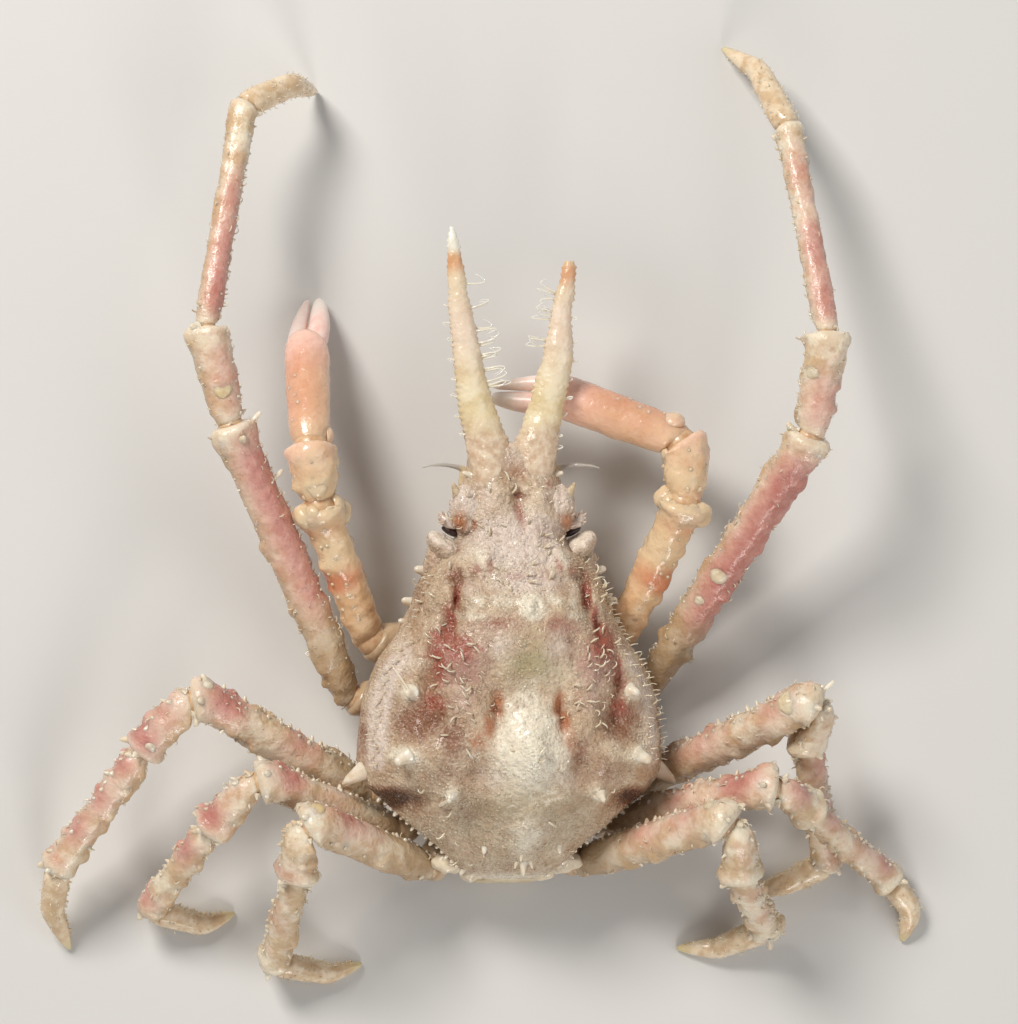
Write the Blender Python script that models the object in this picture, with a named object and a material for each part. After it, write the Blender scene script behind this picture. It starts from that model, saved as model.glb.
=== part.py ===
# A spider crab, Hyastenus hilgendorfi, at life size, at rest on its belly and the tips of its legs.
# Every size is in millimetres until the last step, which scales each mesh to metres. The head faces
# -Y, +Z is up and the animal's own left is +X. The body leans a little to its right, as it rests.

import math

import bmesh
import bpy
import numpy as np
from mathutils import Matrix, Vector

MM = 0.001
GAP = 0.3                      # clear space where two pieces of shell meet
SIDES = (("left", 1), ("right", -1))

# The body's own frame: u to its left, v back from the fork of the rostrum, w up.
LEAN = math.radians(7.0)       # roll about the long axis, left side up
LEAN_HEIGHT = 2.5
FORK = (0.46, -4.52)           # where u = v = 0 stands on the floor
BOX_CENTRE = (1.80, 0.13)      # middle of the whole animal's outline, moved to the origin

# Carapace: half width, height of the crest, of the side edge and of the underside, along v.
SHELL_FRONT, SHELL_REAR = 0.15, 28.3
SHELL_OVER, SHELL_UNDER = 22, 14    # steps round the upper and the lower side
HALF_WIDTH = ((0, 2.9), (2, 2.95), (3.2, 3.3), (5.5, 3.7), (7.4, 4.7), (8.6, 5.7), (10.2, 6.4), (11.5, 6.9),
              (12.8, 7.6), (14, 8.5), (15.3, 9.1), (17, 9.6), (20.4, 9.9), (21.6, 9.6), (22.4, 9.0),
              (23.3, 8.0), (24.3, 6.9), (25.2, 5.8), (26, 4.8), (27, 3.8), (27.8, 2.9), (28.3, 1.7))
CREST = ((0, 9.0), (4, 9.5), (7, 10.3), (10.2, 12.1), (13, 12.5), (16.5, 12.1), (19.5, 12.8), (22, 12.0),
         (24.5, 10.3), (26.8, 8.4), (28.3, 6.2))
EDGE = ((0, 7.9), (5, 7.2), (8, 6.6), (12, 6.2), (21, 6.2), (25, 5.8), (28.3, 5.7))
UNDERSIDE = ((0, 7.0), (3, 6.2), (5, 5.2), (8, 4.35), (12, 4.3), (22, 4.3), (25, 4.7), (28.3, 5.0))
ROUNDNESS = 2.3                # 2 is an ellipse, more is squarer

# Swellings of the upper side: u, v, half length across, half length along, height (minus sinks).
REGIONS = (
    (0.0, 10.6, 1.0, 1.0, 0.55), (0.0, 12.5, 3.0, 3.2, 0.35),         # stomach
    (0.0, 20.0, 1.7, 2.6, 0.55), (0.0, 24.6, 1.8, 1.8, 0.30),         # heart and gut
    (6.2, 18.8, 2.4, 3.6, 0.55), (5.2, 10.2, 1.1, 1.3, 0.35),         # gills and liver
    (4.4, 12.0, 0.7, 2.6, -0.75), (3.2, 16.4, 0.8, 1.8, -0.55),       # neck groove
    (2.6, 18.9, 0.6, 2.2, -0.45), (5.6, 24.2, 1.6, 1.0, -0.45),       # beside the heart, hind hollow
)

# Spines and knobs of the carapace: u, v, height, root radius, lean back. Those with u above 0 are paired.
TUBERCLES = (
    (0, 10.6, 0.45, 0.75, 0.1), (0, 8.0, 0.35, 0.35, 0), (0, 27.2, 0.9, 0.45, 0.9), (0, 13.6, 0.3, 0.4, 0),
    (2.1, 2.6, 0.3, 0.3, 0), (1.6, 5.2, 0.35, 0.3, 0), (3.25, 7.7, 0.55, 0.35, 0), (2.2, 9.3, 0.35, 0.35, 0),
    (4.4, 9.9, 0.35, 0.4, 0), (6.6, 13.2, 0.4, 0.4, 0), (7.2, 15.9, 0.65, 0.5, 0), (5.9, 19.3, 0.5, 0.45, 0),
    (7.7, 20.1, 0.8, 0.5, 0.2), (4.6, 22.5, 0.6, 0.35, 0.2), (3.0, 15.0, 0.3, 0.35, 0),
    (2.4, 25.6, 0.4, 0.3, 0.4),
)
SIDE_SPINE_ROOT, SIDE_SPINE_TIP, SIDE_SPINE_RADIUS = (9.1, 20.9, 6.6), (10.9, 21.8, 6.9), 0.75
LIVER_SPINES = ((8.8, 0.75, 0.45), (10.5, 0.6, 0.4))            # v, length, radius, on the side edge
# Rows of beads on the side edge: v from, v to, count, length, radius.
EDGE_BEADS = ((12.0, 20.4, 7, 0.32, 0.25), (23.0, 27.6, 7, 0.38, 0.28))

# Lobes over and behind each eye: centre and half lengths across, along and up.
EAVE = ((3.25, 4.1, 7.75), (0.8, 1.05, 0.6))
EAVE_TOOTH_ROOT, EAVE_TOOTH_TIP, EAVE_TOOTH_RADIUS = (3.4, 3.7, 7.9), (3.75, 2.75, 8.2), 0.35
CUP = ((4.5, 6.75, 7.15), (0.95, 0.65, 0.85))
EYE = ((4.45, 5.27, 7.0), (0.48, 0.42, 0.45))

# Rostral spines: v, u and half width, from the root to the tip. The right one is worn shorter.
ROSTRUM = {
    "left": ((-0.15, 1.72, 1.36), (-1.6, 2.15, 1.23), (-3.8, 2.66, 1.02), (-6, 3.05, 0.88), (-8, 3.4, 0.78),
             (-10.2, 3.69, 0.58), (-11.8, 3.85, 0.42), (-13, 3.97, 0.31), (-13.8, 4.04, 0.12)),
    "right": ((-0.15, 1.62, 1.34), (-1.6, 2.0, 1.25), (-3.8, 2.5, 1.1), (-5.9, 2.92, 0.93), (-8, 3.05, 0.68),
              (-10.2, 3.43, 0.52), (-11.3, 3.54, 0.4), (-11.65, 3.56, 0.22)),
}
ROSTRUM_HEIGHT = ((-13.8, 9.05), (-6, 8.7), (-0.15, 8.1))      # centre height along v
ROSTRUM_FLATNESS = 0.78
ROSTRUM_KNOBS, ROSTRUM_KNOB, ROSTRUM_KNOB_RADIUS = 7, 0.16, 0.2   # along each edge; height; root radius
ROSTRUM_KNOBS_FROM, ROSTRUM_KNOBS_TO = -1.4, 1.5     # v of the first, distance of the last from the tip

# Antenna beside the root of the rostrum: u, v, w and radius.
ANTENNA = ((3.75, 3.55, 6.0, 0.42), (3.8, 2.3, 6.75, 0.42), (3.95, 1.7, 7.05, 0.3), (4.5, 1.45, 7.2, 0.24),
           (5.6, 1.65, 7.3, 0.1))

# Underside of the body between the legs: v, half width, lowest and highest height.
THORAX = ((11.2, 3.6, 1.5, 3.6), (12.4, 5.0, 0.6, 3.9), (14.5, 5.6, -0.1, 3.9), (20, 5.7, -0.2, 3.9),
          (23.5, 4.9, -0.2, 3.9), (25.0, 4.0, 0.8, 3.9), (26.3, 3.0, 1.3, 3.8))
TROUGH_HALF_WIDTH, TROUGH_HEIGHT, TROUGH_FRONT = 2.75, 1.2, 14.2
# The abdomen folds into that trough: v and half width, from the end segment back to the rear edge.
ABDOMEN = ((14.7, 0.5), (15.2, 1.0), (16.6, 1.35), (19, 1.55), (22.5, 2.1), (24.5, 2.4), (26.5, 2.35))
ABDOMEN_THICKNESS = 0.8
ABDOMEN_SEAMS = (16.4, 18.4, 20.4, 22.4, 24.4)
SEAM = (0.15, 0.12, 0.25)      # half width, how far it cuts in at the sides and into the lower face
ABDOMEN_EDGE, ABDOMEN_SLANT = 0.2, 0.45   # bevel at its sides; lean of its rear sections
# Its rear end, which turns up behind the carapace: v, lowest and highest height, half width.
ABDOMEN_REAR = ((27.4, 0.1, 1.6, 2.3), (28.3, 0.8, 2.6, 2.3), (28.75, 2.0, 3.5, 2.3), (28.8, 3.1, 3.9, 2.1))
# Outer mouthparts, a plate each side: v, inner and outer edge, height of the lower face.
MOUTH_PLATE = ((5.9, 0.5, 1.5, 3.6), (6.6, 0.2, 2.3, 3.1), (8.2, 0.2, 2.6, 2.5), (9.9, 0.2, 2.3, 2.05),
               (10.85, 0.25, 1.7, 1.9))
MOUTH_THICKNESS = 0.95

# Legs. The hip and the root of each side are in the body's frame. Then comes where the leg goes: the length
# of each article, its compass heading (0 straight ahead, plus outwards) and the height its far end reaches.
# The last two steps are the claw's root and its bent end.
LEGS = {
    "leg1": {
        "hip": (4.6, 12.9, 2.4),
        "left": ((8.75, 13.1, 3.4), (10.2, 19.5, 8.3), (4.0, 8, 8.8), (8.7, 4, 3.9)),
        "right": ((7.55, 13.1, 3.1), (11.1, 25, 6.8), (3.95, -2, 6.4), (9.3, -69, 5.6)),
    },
    "leg2": {
        "hip": (4.8, 15.8, 2.3),
        "left": ((10.0, 16.9, 3.1), (20.3, 22.6, 10.3), (6.4, 14, 10.7), (14.9, -9, 7.8), (4.3, -61, 5.0),
                 (5.0, -90, 0.2)),
        "right": ((9.4, 16.3, 3.1), (21.6, 31.7, 11.2), (6.6, 9, 12.0), (14.9, -9, 6.2), (5.3, -24, 3.2),
                  (4.1, -51, 0.2)),
    },
    "leg3": {
        "hip": (4.8, 20.3, 2.1),
        "left": ((8.5, 23.0, 2.45), (14.1, 60, 8.6), (5.0, 136, 7.3), (10.2, 144, 4.3), (3.6, 168, 2.2),
                 (3.5, 199, 0.2)),
        "right": ((8.5, 22.6, 2.45), (16.5, 63, 11.0), (4.6, 195, 7.6), (10.3, 168, 1.5), (2.7, 242, 0.8),
                  (3.4, 250, 0.2)),
    },
    "leg4": {
        "hip": (4.4, 22.7, 2.3),
        "left": ((6.8, 25.4, 3.2), (11.3, 67, 9.9), (4.9, 136, 8.0), (9.1, 143, 2.3), (3.8, 250, 0.8),
                 (2.2, 290, 0.2)),
        "right": ((6.85, 25.05, 2.9), (14.1, 74, 10.8), (4.1, 128, 8.0), (9.9, 131, 1.6), (2.6, 145, 0.9),
                  (2.2, 196, 0.2)),
    },
    "leg5": {
        "hip": (3.0, 25.0, 2.5),
        "left": ((4.9, 27.8, 3.7), (11.1, 66, 11.3), (4.2, 171, 9.0), (9.2, 165, 2.5), (3.9, 255, 0.8),
                 (2.3, 286, 0.2)),
        "right": ((5.0, 27.55, 3.4), (14.2, 70, 12.6), (4.4, 172, 10.2), (9.0, 154, 2.5), (3.9, 246, 0.7),
                  (2.6, 269, 0.2)),
    },
}
# Radius along each article, from its near end (0) to its far end (1).
COXA = ((0, 1), (1, 1))
WALKING = {
    "merus": ((0, 0.78), (0.2, 0.92), (0.5, 1.0), (0.85, 1.02), (0.95, 1.12), (1, 0.98)),
    "carpus": ((0, 0.76), (0.2, 0.9), (0.7, 1.02), (0.9, 1.08), (1, 0.9)),
    "propodus": ((0, 0.78), (0.15, 0.9), (0.5, 0.86), (0.85, 0.96), (0.95, 1.04), (1, 0.9)),
    "dactyl": ((0, 0.85), (0.12, 1.0), (0.5, 0.86), (0.8, 0.56), (0.95, 0.3), (1, 0.16)),
}
# What those radii are multiplied by: the root stub, then each article.
COXA_RADIUS = {"leg1": 1.3, "leg2": 1.14, "leg3": 1.16, "leg4": 1.1, "leg5": 1.18}
THICKNESS = {"leg1": (1, 1, 1), "leg2": (1.2, 1.22, 0.9, 0.78), "leg3": (1.22, 1.15, 1.05, 0.78),
             "leg4": (1.16, 1.1, 1.02, 0.75), "leg5": (1.24, 1.12, 1.05, 0.75)}
CHELIPED = {
    "merus": ((0, 1.0), (0.1, 1.2), (0.5, 1.32), (0.85, 1.35), (0.95, 1.42), (1, 1.25)),
    "carpus": ((0, 1.05), (0.25, 1.35), (0.7, 1.55), (1, 1.2)),
    "palm": ((0, 1.0), (0.12, 1.25), (0.5, 1.42), (0.85, 1.42), (1, 1.28)),
}
STRAIGHT_RINGS = {"merus": 5, "carpus": 2, "propodus": 4, "palm": 4, "dactyl": 1}
# Radius of the bend at the root and at each joint.
BEND = {"leg1": (1.35, 1.55, 1.5, 1.0), "leg2": (1.3, 1.4, 1.2, 1.05, 2.0),
        "leg3": (1.25, 1.3, 1.3, 1.0, 1.6), "leg4": (1.2, 1.25, 1.2, 1.0, 1.6),
        "leg5": (1.15, 1.25, 1.25, 1.0, 1.6)}
OUTSET = 0.5                   # 1 puts the middle of each bend on its joint, 0 the corner of the lines
# Claw of the first leg: root radii of the moving and the fixed finger, and how far each stands from the
# middle at the root, half way and at the tip.
FINGER_RADIUS, FIXED_RADIUS, FINGER_SPREAD, FINGER_TIP_SPREAD, FINGER_CURVE = 0.64, 0.46, 0.82, 0.38, 0.1
CLAW_POINT = 0.15              # how far a claw's point stands beyond its last ring
FINGER_LENGTH = {"left": 4.3, "right": 3.8}
FINGER_HEADING = {"left": (-8, 0.45), "right": (-90, 4.9)}
SIDES_OF_LEG, RING_STEP = 10, 0.03    # RING_STEP keeps the rings at a joint apart

# Spinules of the legs: place along the article, angle round it from its outer side, length, radius.
SPINULES = {
    "merus": ((0.25, 25, 0.35), (0.38, 165, 0.45), (0.5, 10, 0.45), (0.66, 170, 0.45), (0.78, 60, 0.4),
              (0.92, 20, 0.75), (0.93, 95, 0.7), (0.94, 160, 0.75)),
    "carpus": ((0.35, 20, 0.5), (0.55, 160, 0.55), (0.75, 90, 0.6), (0.85, 15, 0.5)),
    "propodus": ((0.15, 20, 0.4), (0.35, 165, 0.35), (0.55, 15, 0.35), (0.72, 160, 0.35), (0.92, 45, 0.45),
                 (0.92, 140, 0.4)),
    "dactyl": (),
}
CHELIPED_SPINULES = {"merus": ((0.3, 30, 0.35), (0.93, 25, 0.5), (0.93, 150, 0.45)),
                     "carpus": ((0.5, 150, 0.45), (0.8, 20, 0.35)), "palm": ()}
SPINULE_RADIUS, SPINULE_DEPTH, SPINULE_LEAN = 0.3, 0.08, 0.25   # depth is a part of the leg's radius

COLOURS = {
    "carapace": (0.60, 0.47, 0.34), "rostrum": (0.78, 0.66, 0.48), "eye": (0.10, 0.04, 0.05),
    "antenna": (0.62, 0.50, 0.38), "thorax": (0.76, 0.66, 0.50), "abdomen": (0.74, 0.64, 0.49),
    "mouthparts": (0.72, 0.58, 0.42), "cheliped": (0.80, 0.42, 0.25), "finger": (0.82, 0.40, 0.33),
    "walking_leg": (0.72, 0.50, 0.40), "claw": (0.76, 0.62, 0.40),
}


# Curves and frames

def along(table, place):
    """A table of (place, value) read at place, smooth and without overshoot."""
    places, values = np.array(table, float).T
    if places[0] > places[-1]:
        places, values = places[::-1], values[::-1]
    steps = np.diff(places)
    rates = np.diff(values) / steps
    slopes = np.concatenate([rates[:1], np.zeros(len(rates) - 1), rates[-1:]])
    for i in range(1, len(rates)):
        if rates[i - 1] * rates[i] > 0:
            slopes[i] = 2 * rates[i - 1] * rates[i] / (rates[i - 1] + rates[i])
    i = np.clip(np.searchsorted(places, place) - 1, 0, len(steps) - 1)
    t = np.clip((place - places[i]) / steps[i], 0, 1)
    return (values[i] * (1 + 2 * t) * (1 - t) ** 2 + values[i + 1] * t * t * (3 - 2 * t)
            + steps[i] * t * (1 - t) * (slopes[i] * (1 - t) - slopes[i + 1] * t))


def unit(vector):
    return vector / np.linalg.norm(vector)


def stand(points):
    """Points of the body's frame (u, v, w) in the room."""
    u, v, w = np.moveaxis(np.asarray(points, float), -1, 0)
    rise = w - LEAN_HEIGHT
    x = FORK[0] + u * math.cos(LEAN) - rise * math.sin(LEAN)
    z = LEAN_HEIGHT + u * math.sin(LEAN) + rise * math.cos(LEAN)
    return np.stack([x, FORK[1] + v, z], axis=-1)


# Solids

def solid(name, points, faces):
    """A closed mesh object in the scene, its faces turned outwards, nothing below the floor."""
    points = np.array(points, float)
    points[:, 2] = np.maximum(points[:, 2], 0)
    mesh = bpy.data.meshes.new(name)
    mesh.from_pydata(points.tolist(), [], faces)
    shape = bmesh.new()
    shape.from_mesh(mesh)
    bmesh.ops.recalc_face_normals(shape, faces=shape.faces)
    if shape.calc_volume(signed=True) < 0:
        bmesh.ops.reverse_faces(shape, faces=shape.faces)
    shape.to_mesh(mesh)
    shape.free()
    made = bpy.data.objects.new(name, mesh)
    bpy.context.collection.objects.link(made)
    return made


def loft(name, rings, tip=None):
    """A skin over rings of equally many points. The last ring closes on a tip, or flat."""
    count = len(rings[0])
    points = [point for ring in rings for point in ring]
    faces = []
    for r in range(len(rings) - 1):
        for i in range(count):
            j = (i + 1) % count
            a, b = r * count, (r + 1) * count
            faces.append((a + i, a + j, b + j, b + i))
    faces.append(tuple(range(count))[::-1])
    last = (len(rings) - 1) * count
    if tip is None:
        faces.append(tuple(last + i for i in range(count)))
    else:
        points.append(tip)
        faces += [(last + i, last + (i + 1) % count, len(points) - 1) for i in range(count)]
    return solid(name, points, faces)


def across(direction):
    """Two unit vectors square to a direction."""
    side = np.cross(direction, (0, 0, 1))
    if np.linalg.norm(side) < 0.1:
        side = np.cross(direction, (1, 0, 0))
    side = unit(side)
    return side, np.cross(side, direction)


def circle(centre, side, up, radius, count, turn=0.0):
    angles = turn + np.arange(count) * 2 * math.pi / count
    return centre + radius * (np.outer(np.cos(angles), side) + np.outer(np.sin(angles), up))


def held_clear(points, planes, least=GAP / 2):
    """Points moved off the planes of the joints, each plane an origin and the way into the article."""
    for origin, inward in planes:
        if origin is not None:
            points = points + np.outer(np.maximum(least - (points - origin) @ inward, 0), inward)
    return points


def spine(root, tip, radius, count=5, planes=()):
    """A tapering spine, its root sunk by one radius."""
    root, tip = np.array(root, float), np.array(tip, float)
    direction = unit(tip - root)
    side, up = across(direction)
    ring = circle(root - direction * radius, side, up, radius * 1.1, count)
    return loft("spine", [held_clear(ring, planes)], held_clear(tip[None], planes)[0])


def lobe(centre, half, rings=5, count=8):
    """An ellipsoid whose axes follow the body's frame."""
    centre, half = np.array(centre, float), np.array(half, float)
    levels = []
    for r in range(1, rings):
        tilt = math.pi * r / rings
        angles = np.arange(count) * 2 * math.pi / count
        level = np.stack([np.sin(tilt) * np.cos(angles), np.full(count, -np.cos(tilt)),
                          np.sin(tilt) * np.sin(angles)], axis=-1)
        levels.append(stand(centre + level * half))
    return loft("lobe", levels, stand(centre + half * (0, 1, 0)))


def keep_largest(body):
    """Only the largest closed surface of a mesh stays."""
    shape = bmesh.new()
    shape.from_mesh(body.data)
    bmesh.ops.triangulate(shape, faces=shape.faces)
    left = set(shape.faces)
    bodies = []
    while left:
        group = {left.pop()}
        edge_of = list(group)
        while edge_of:
            for edge in edge_of.pop().edges:
                for face in edge.link_faces:
                    if face in left:
                        left.remove(face)
                        group.add(face)
                        edge_of.append(face)
        bodies.append(group)
    largest = max(bodies, key=lambda group: sum(face.calc_area() for face in group))
    loose = [face for group in bodies if group is not largest for face in group]
    bmesh.ops.delete(shape, geom=loose, context="FACES")
    shape.to_mesh(body.data)
    shape.free()


def apply_union(body, pieces, solver):
    """The mesh of the body joined with the pieces."""
    group = bpy.data.collections.new("pieces")
    bpy.context.scene.collection.children.link(group)
    for piece in pieces:
        group.objects.link(piece)
    union = body.modifiers.new("union", "BOOLEAN")
    union.operation = "UNION"
    union.operand_type = "COLLECTION"
    union.collection = group
    union.solver = solver
    bpy.context.view_layer.update()
    seen = body.evaluated_get(bpy.context.evaluated_depsgraph_get())
    mesh = bpy.data.meshes.new_from_object(seen)
    body.modifiers.remove(union)
    bpy.data.collections.remove(group)
    return mesh


def closed(mesh):
    shape = bmesh.new()
    shape.from_mesh(mesh)
    whole = len(shape.faces) > 0 and all(edge.is_manifold for edge in shape.edges)
    shape.free()
    return whole


def fuse(body, pieces):
    """One closed body of a shape and the pieces rooted in it."""
    if pieces:
        mesh = apply_union(body, pieces, "EXACT")
        if not closed(mesh):
            mesh = apply_union(body, pieces, "MANIFOLD")
        body.data = mesh
        for piece in pieces:
            bpy.data.objects.remove(piece)
    keep_largest(body)
    return body


def finish(body, root, colour, roughness=0.5):
    """Scales a body to metres, sets its origin at its root and gives it its material."""
    shift = Vector((BOX_CENTRE[0], BOX_CENTRE[1], 0))
    place = (Vector(root) - shift) * MM
    body.data.transform(Matrix.Translation(-place) @ Matrix.Scale(MM, 4) @ Matrix.Translation(-shift))
    body.location = place
    body.parent = animal
    body.data.materials.clear()
    body.data.materials.append(material(colour, roughness))
    body.data.shade_smooth()
    body.data.set_sharp_from_angle(angle=math.radians(40))


def material(name, roughness):
    made = bpy.data.materials.get(name)
    if made is None:
        made = bpy.data.materials.new(name)
        made.use_nodes = True
        shader = made.node_tree.nodes["Principled BSDF"]
        shader.inputs["Base Color"].default_value = (*COLOURS[name], 1)
        shader.inputs["Roughness"].default_value = roughness
        shader.inputs["Metallic"].default_value = 0
    return made


# Carapace

def swelling(u, v):
    """Height added to the upper side by the swollen regions and the grooves between them."""
    total = np.zeros(np.broadcast(u, v).shape)
    for region_u, region_v, half_u, half_v, height in REGIONS:
        for side in ((1,) if region_u == 0 else (1, -1)):
            spread = ((u - side * region_u) / half_u) ** 2 + ((v - region_v) / half_v) ** 2
            total = total + height * np.exp(-spread)
    return total


def shell_height(u, v, upper):
    """Height of the upper or the lower side of the carapace."""
    edge = along(EDGE, v)
    reach = np.minimum(np.abs(u) / along(HALF_WIDTH, v), 1)
    bow = (1 - reach ** ROUNDNESS) ** (1 / ROUNDNESS)
    if upper:
        return edge + (along(CREST, v) - edge) * bow + swelling(u, v) * (1 - reach ** 4)
    return edge - (edge - along(UNDERSIDE, v)) * bow


def shell_spot(u, v):
    """A place on the upper side and the way out of the shell there."""
    here = np.array((u, v, float(shell_height(u, v, True))))
    step = 0.2
    inner = u - math.copysign(step, u)
    slope_u = (here[2] - float(shell_height(inner, v, True))) / (u - inner)
    slope_v = (float(shell_height(u, v + step, True)) - float(shell_height(u, v - step, True))) / (2 * step)
    return here, unit(np.array((-slope_u, -slope_v, 1.0)))


def shell_ring(v):
    half = float(along(HALF_WIDTH, v))
    halves = []
    for upper, count in ((True, SHELL_OVER), (False, SHELL_UNDER)):
        u = half * np.cos(np.arange(count) * math.pi / count) * (1 if upper else -1)
        halves.append(np.stack([u, np.full(count, v), shell_height(u, v, upper)], axis=-1))
    return stand(np.concatenate(halves))


def body_spine(root, tip, radius):
    return spine(stand(root), stand(tip), radius)


def make_carapace():
    middle = np.linspace(1.2, 26.5, 25)
    places = [SHELL_FRONT, *middle, 27.3, 27.9, SHELL_REAR]
    shell = loft("carapace", [shell_ring(v) for v in places])
    pieces = []
    for u, v, height, radius, back in TUBERCLES:
        for side in ((1,) if u == 0 else (1, -1)):
            here, out = shell_spot(side * u, v)
            tip = here + unit(out + (0, back, 0)) * height
            pieces.append(body_spine(here, tip, radius))
    for _, side in SIDES:
        turned = np.array((side, 1, 1))
        pieces.append(body_spine(turned * SIDE_SPINE_ROOT, turned * SIDE_SPINE_TIP, SIDE_SPINE_RADIUS))
        pieces.append(body_spine(turned * EAVE_TOOTH_ROOT, turned * EAVE_TOOTH_TIP, EAVE_TOOTH_RADIUS))
        for centre, half in (EAVE, CUP):
            pieces.append(lobe(turned * centre, half))
        rows = [(v, length, radius) for v, length, radius in LIVER_SPINES]
        for first, last, count, length, radius in EDGE_BEADS:
            rows += [(v, length, radius) for v in np.linspace(first, last, count)]
        for v, length, radius in rows:
            half = float(along(HALF_WIDTH, v))
            slope = float(along(HALF_WIDTH, v + 0.2) - along(HALF_WIDTH, v - 0.2)) / 0.4
            out = unit(np.array((side, -slope, 0.35)))
            root = np.array((side * half, v, float(along(EDGE, v)) + 0.15)) - out * radius * 0.4
            pieces.append(body_spine(root, root + out * (length + radius * 0.4), radius))
    finish(fuse(shell, pieces), stand((0, 14, 4.25)), "carapace")


def make_rostral_spine(side_name, side):
    stations = ROSTRUM[side_name]
    rings = []
    for v, u, half in stations[:-1]:
        angles = np.arange(SIDES_OF_LEG) * 2 * math.pi / SIDES_OF_LEG
        height = float(along(ROSTRUM_HEIGHT, v)) + ROSTRUM_FLATNESS * half * np.sin(angles)
        ring = np.stack([side * u + half * np.cos(angles), np.full(SIDES_OF_LEG, v), height], axis=-1)
        rings.append(stand(ring))
    v, u, _ = stations[-1]
    horn = loft("rostral_spine_" + side_name, rings, stand((side * u, v, float(along(ROSTRUM_HEIGHT, v)))))
    places, middles, halves = np.array(stations).T
    pieces = []
    for edge in (1, -1):
        for v in np.linspace(ROSTRUM_KNOBS_FROM - 0.3 * edge, places[-1] + ROSTRUM_KNOBS_TO, ROSTRUM_KNOBS):
            u, half = np.interp(-v, -places, middles), np.interp(-v, -places, halves)
            root = np.array((side * u + edge * half * 0.85, v, float(along(ROSTRUM_HEIGHT, v))))
            tip = root + (edge * (half * 0.15 + ROSTRUM_KNOB), -0.1, 0)
            pieces.append(body_spine(root, tip, ROSTRUM_KNOB_RADIUS))
    finish(fuse(horn, pieces), stand((side * stations[0][1], stations[0][0], 8.1)), "rostrum")


def make_eye(side_name, side):
    centre, half = EYE
    centre = np.array(centre) * (side, 1, 1)
    eye = lobe(centre, half, 6, 10)
    eye.name = "eye_" + side_name
    finish(fuse(eye, []), stand(centre), "eye", 0.15)


def tube(name, points, radii, count):
    """A tube through points, the last one its tip."""
    points = np.asarray(points, float)
    rings = []
    up = np.array((0.0, 0.0, 1.0))
    for i in range(len(points) - 1):
        ahead = unit(points[i + 1] - points[max(i - 1, 0)])
        side = unit(np.cross(ahead, up))
        rings.append(circle(points[i], side, np.cross(side, ahead), radii[i], count))
    return loft(name, rings, points[-1])


def make_antenna(side_name, side):
    points = np.array(ANTENNA)[:, :3] * (side, 1, 1)
    feeler = tube("antenna_" + side_name, stand(points), [place[3] for place in ANTENNA], 8)
    finish(fuse(feeler, []), stand(points[0]), "antenna")


# Underside

def thorax_ring(v, half, low, high):
    """A section of the thorax, with the trough that the abdomen folds into."""
    deep = TROUGH_HEIGHT if v > TROUGH_FRONT else low
    trough = min(TROUGH_HALF_WIDTH, half * 0.62)
    right = ((0, deep), (-trough * 0.55, deep), (-trough, deep), (-trough, low), (-half * 0.85, low),
             (-half, low + (high - low) * 0.3), (-half, low + (high - low) * 0.75), (-half * 0.85, high),
             (0, high))
    outline = list(right) + [(-u, w) for u, w in right[-2:0:-1]]
    return stand([(u, v, w) for u, w in outline])


def make_thorax(stubs):
    places = [place[0] for place in THORAX]
    rings = []
    for v in [*np.linspace(places[0], TROUGH_FRONT, 4), TROUGH_FRONT + 0.1, *np.linspace(15, places[-1], 9)]:
        rings.append(thorax_ring(v, *(float(along([(p[0], p[k]) for p in THORAX], v)) for k in (1, 2, 3))))
    finish(fuse(loft("thorax", rings), stubs), stand((0, 18, 1.5)), "thorax")


def make_abdomen():
    places, halves = np.array(ABDOMEN).T
    seams = np.array(ABDOMEN_SEAMS)
    sections = []
    for v in sorted([*places, *(seams - SEAM[0]), *seams, *(seams + SEAM[0])]):
        deep = v in ABDOMEN_SEAMS
        half = np.interp(v, places, halves) - SEAM[1] * deep
        sections.append((v, v, -0.2 + SEAM[2] * deep, ABDOMEN_THICKNESS - 0.2, half))
    for v, low, top, half in ABDOMEN_REAR:
        sections.append((v, v - ABDOMEN_SLANT, low, top, half))
    rings = []
    for v, top_v, low, top, half in sections:
        side = (low + ABDOMEN_EDGE, top - ABDOMEN_EDGE)
        right = ((half * 0.75, v, low), (half, v, side[0]), (half, top_v, side[1]), (half * 0.7, top_v, top))
        rings.append(stand([*right, *((-u, v, w) for u, v, w in right[::-1])]))
    belly = loft("abdomen", rings)
    finish(fuse(belly, []), stand((0, 22, 0)), "abdomen")


def make_maxilliped(side_name, side):
    rings = []
    for v, inner, outer, low in MOUTH_PLATE:
        top = low + MOUTH_THICKNESS
        middle = (inner + outer) / 2
        outline = ((inner, top), (inner, low + 0.2), (middle, low), (outer, low + 0.3), (outer, top))
        rings.append(stand([(side * u, v, w) for u, w in outline]))
    plate = loft("maxilliped_" + side_name, rings)
    finish(fuse(plate, []), stand((side * 1.2, 8.5, 3)), "mouthparts")


# Legs

def heading_step(side, length, heading, rise):
    level = math.sqrt(length ** 2 - rise ** 2)
    turn = math.radians(heading)
    return np.array((side * math.sin(turn) * level, -math.cos(turn) * level, rise))


def leg_joints(leg, side_name, side):
    """Hip, root and every joint of a leg, in the room."""
    turned = np.array((side, 1, 1))
    root, *steps = leg[side_name]
    joints = [stand(turned * leg["hip"]), stand(turned * root)]
    for length, heading, height in steps:
        rise = height - joints[-1][2]
        joints.append(joints[-1] + heading_step(side, length, heading, rise))
    return joints


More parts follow.
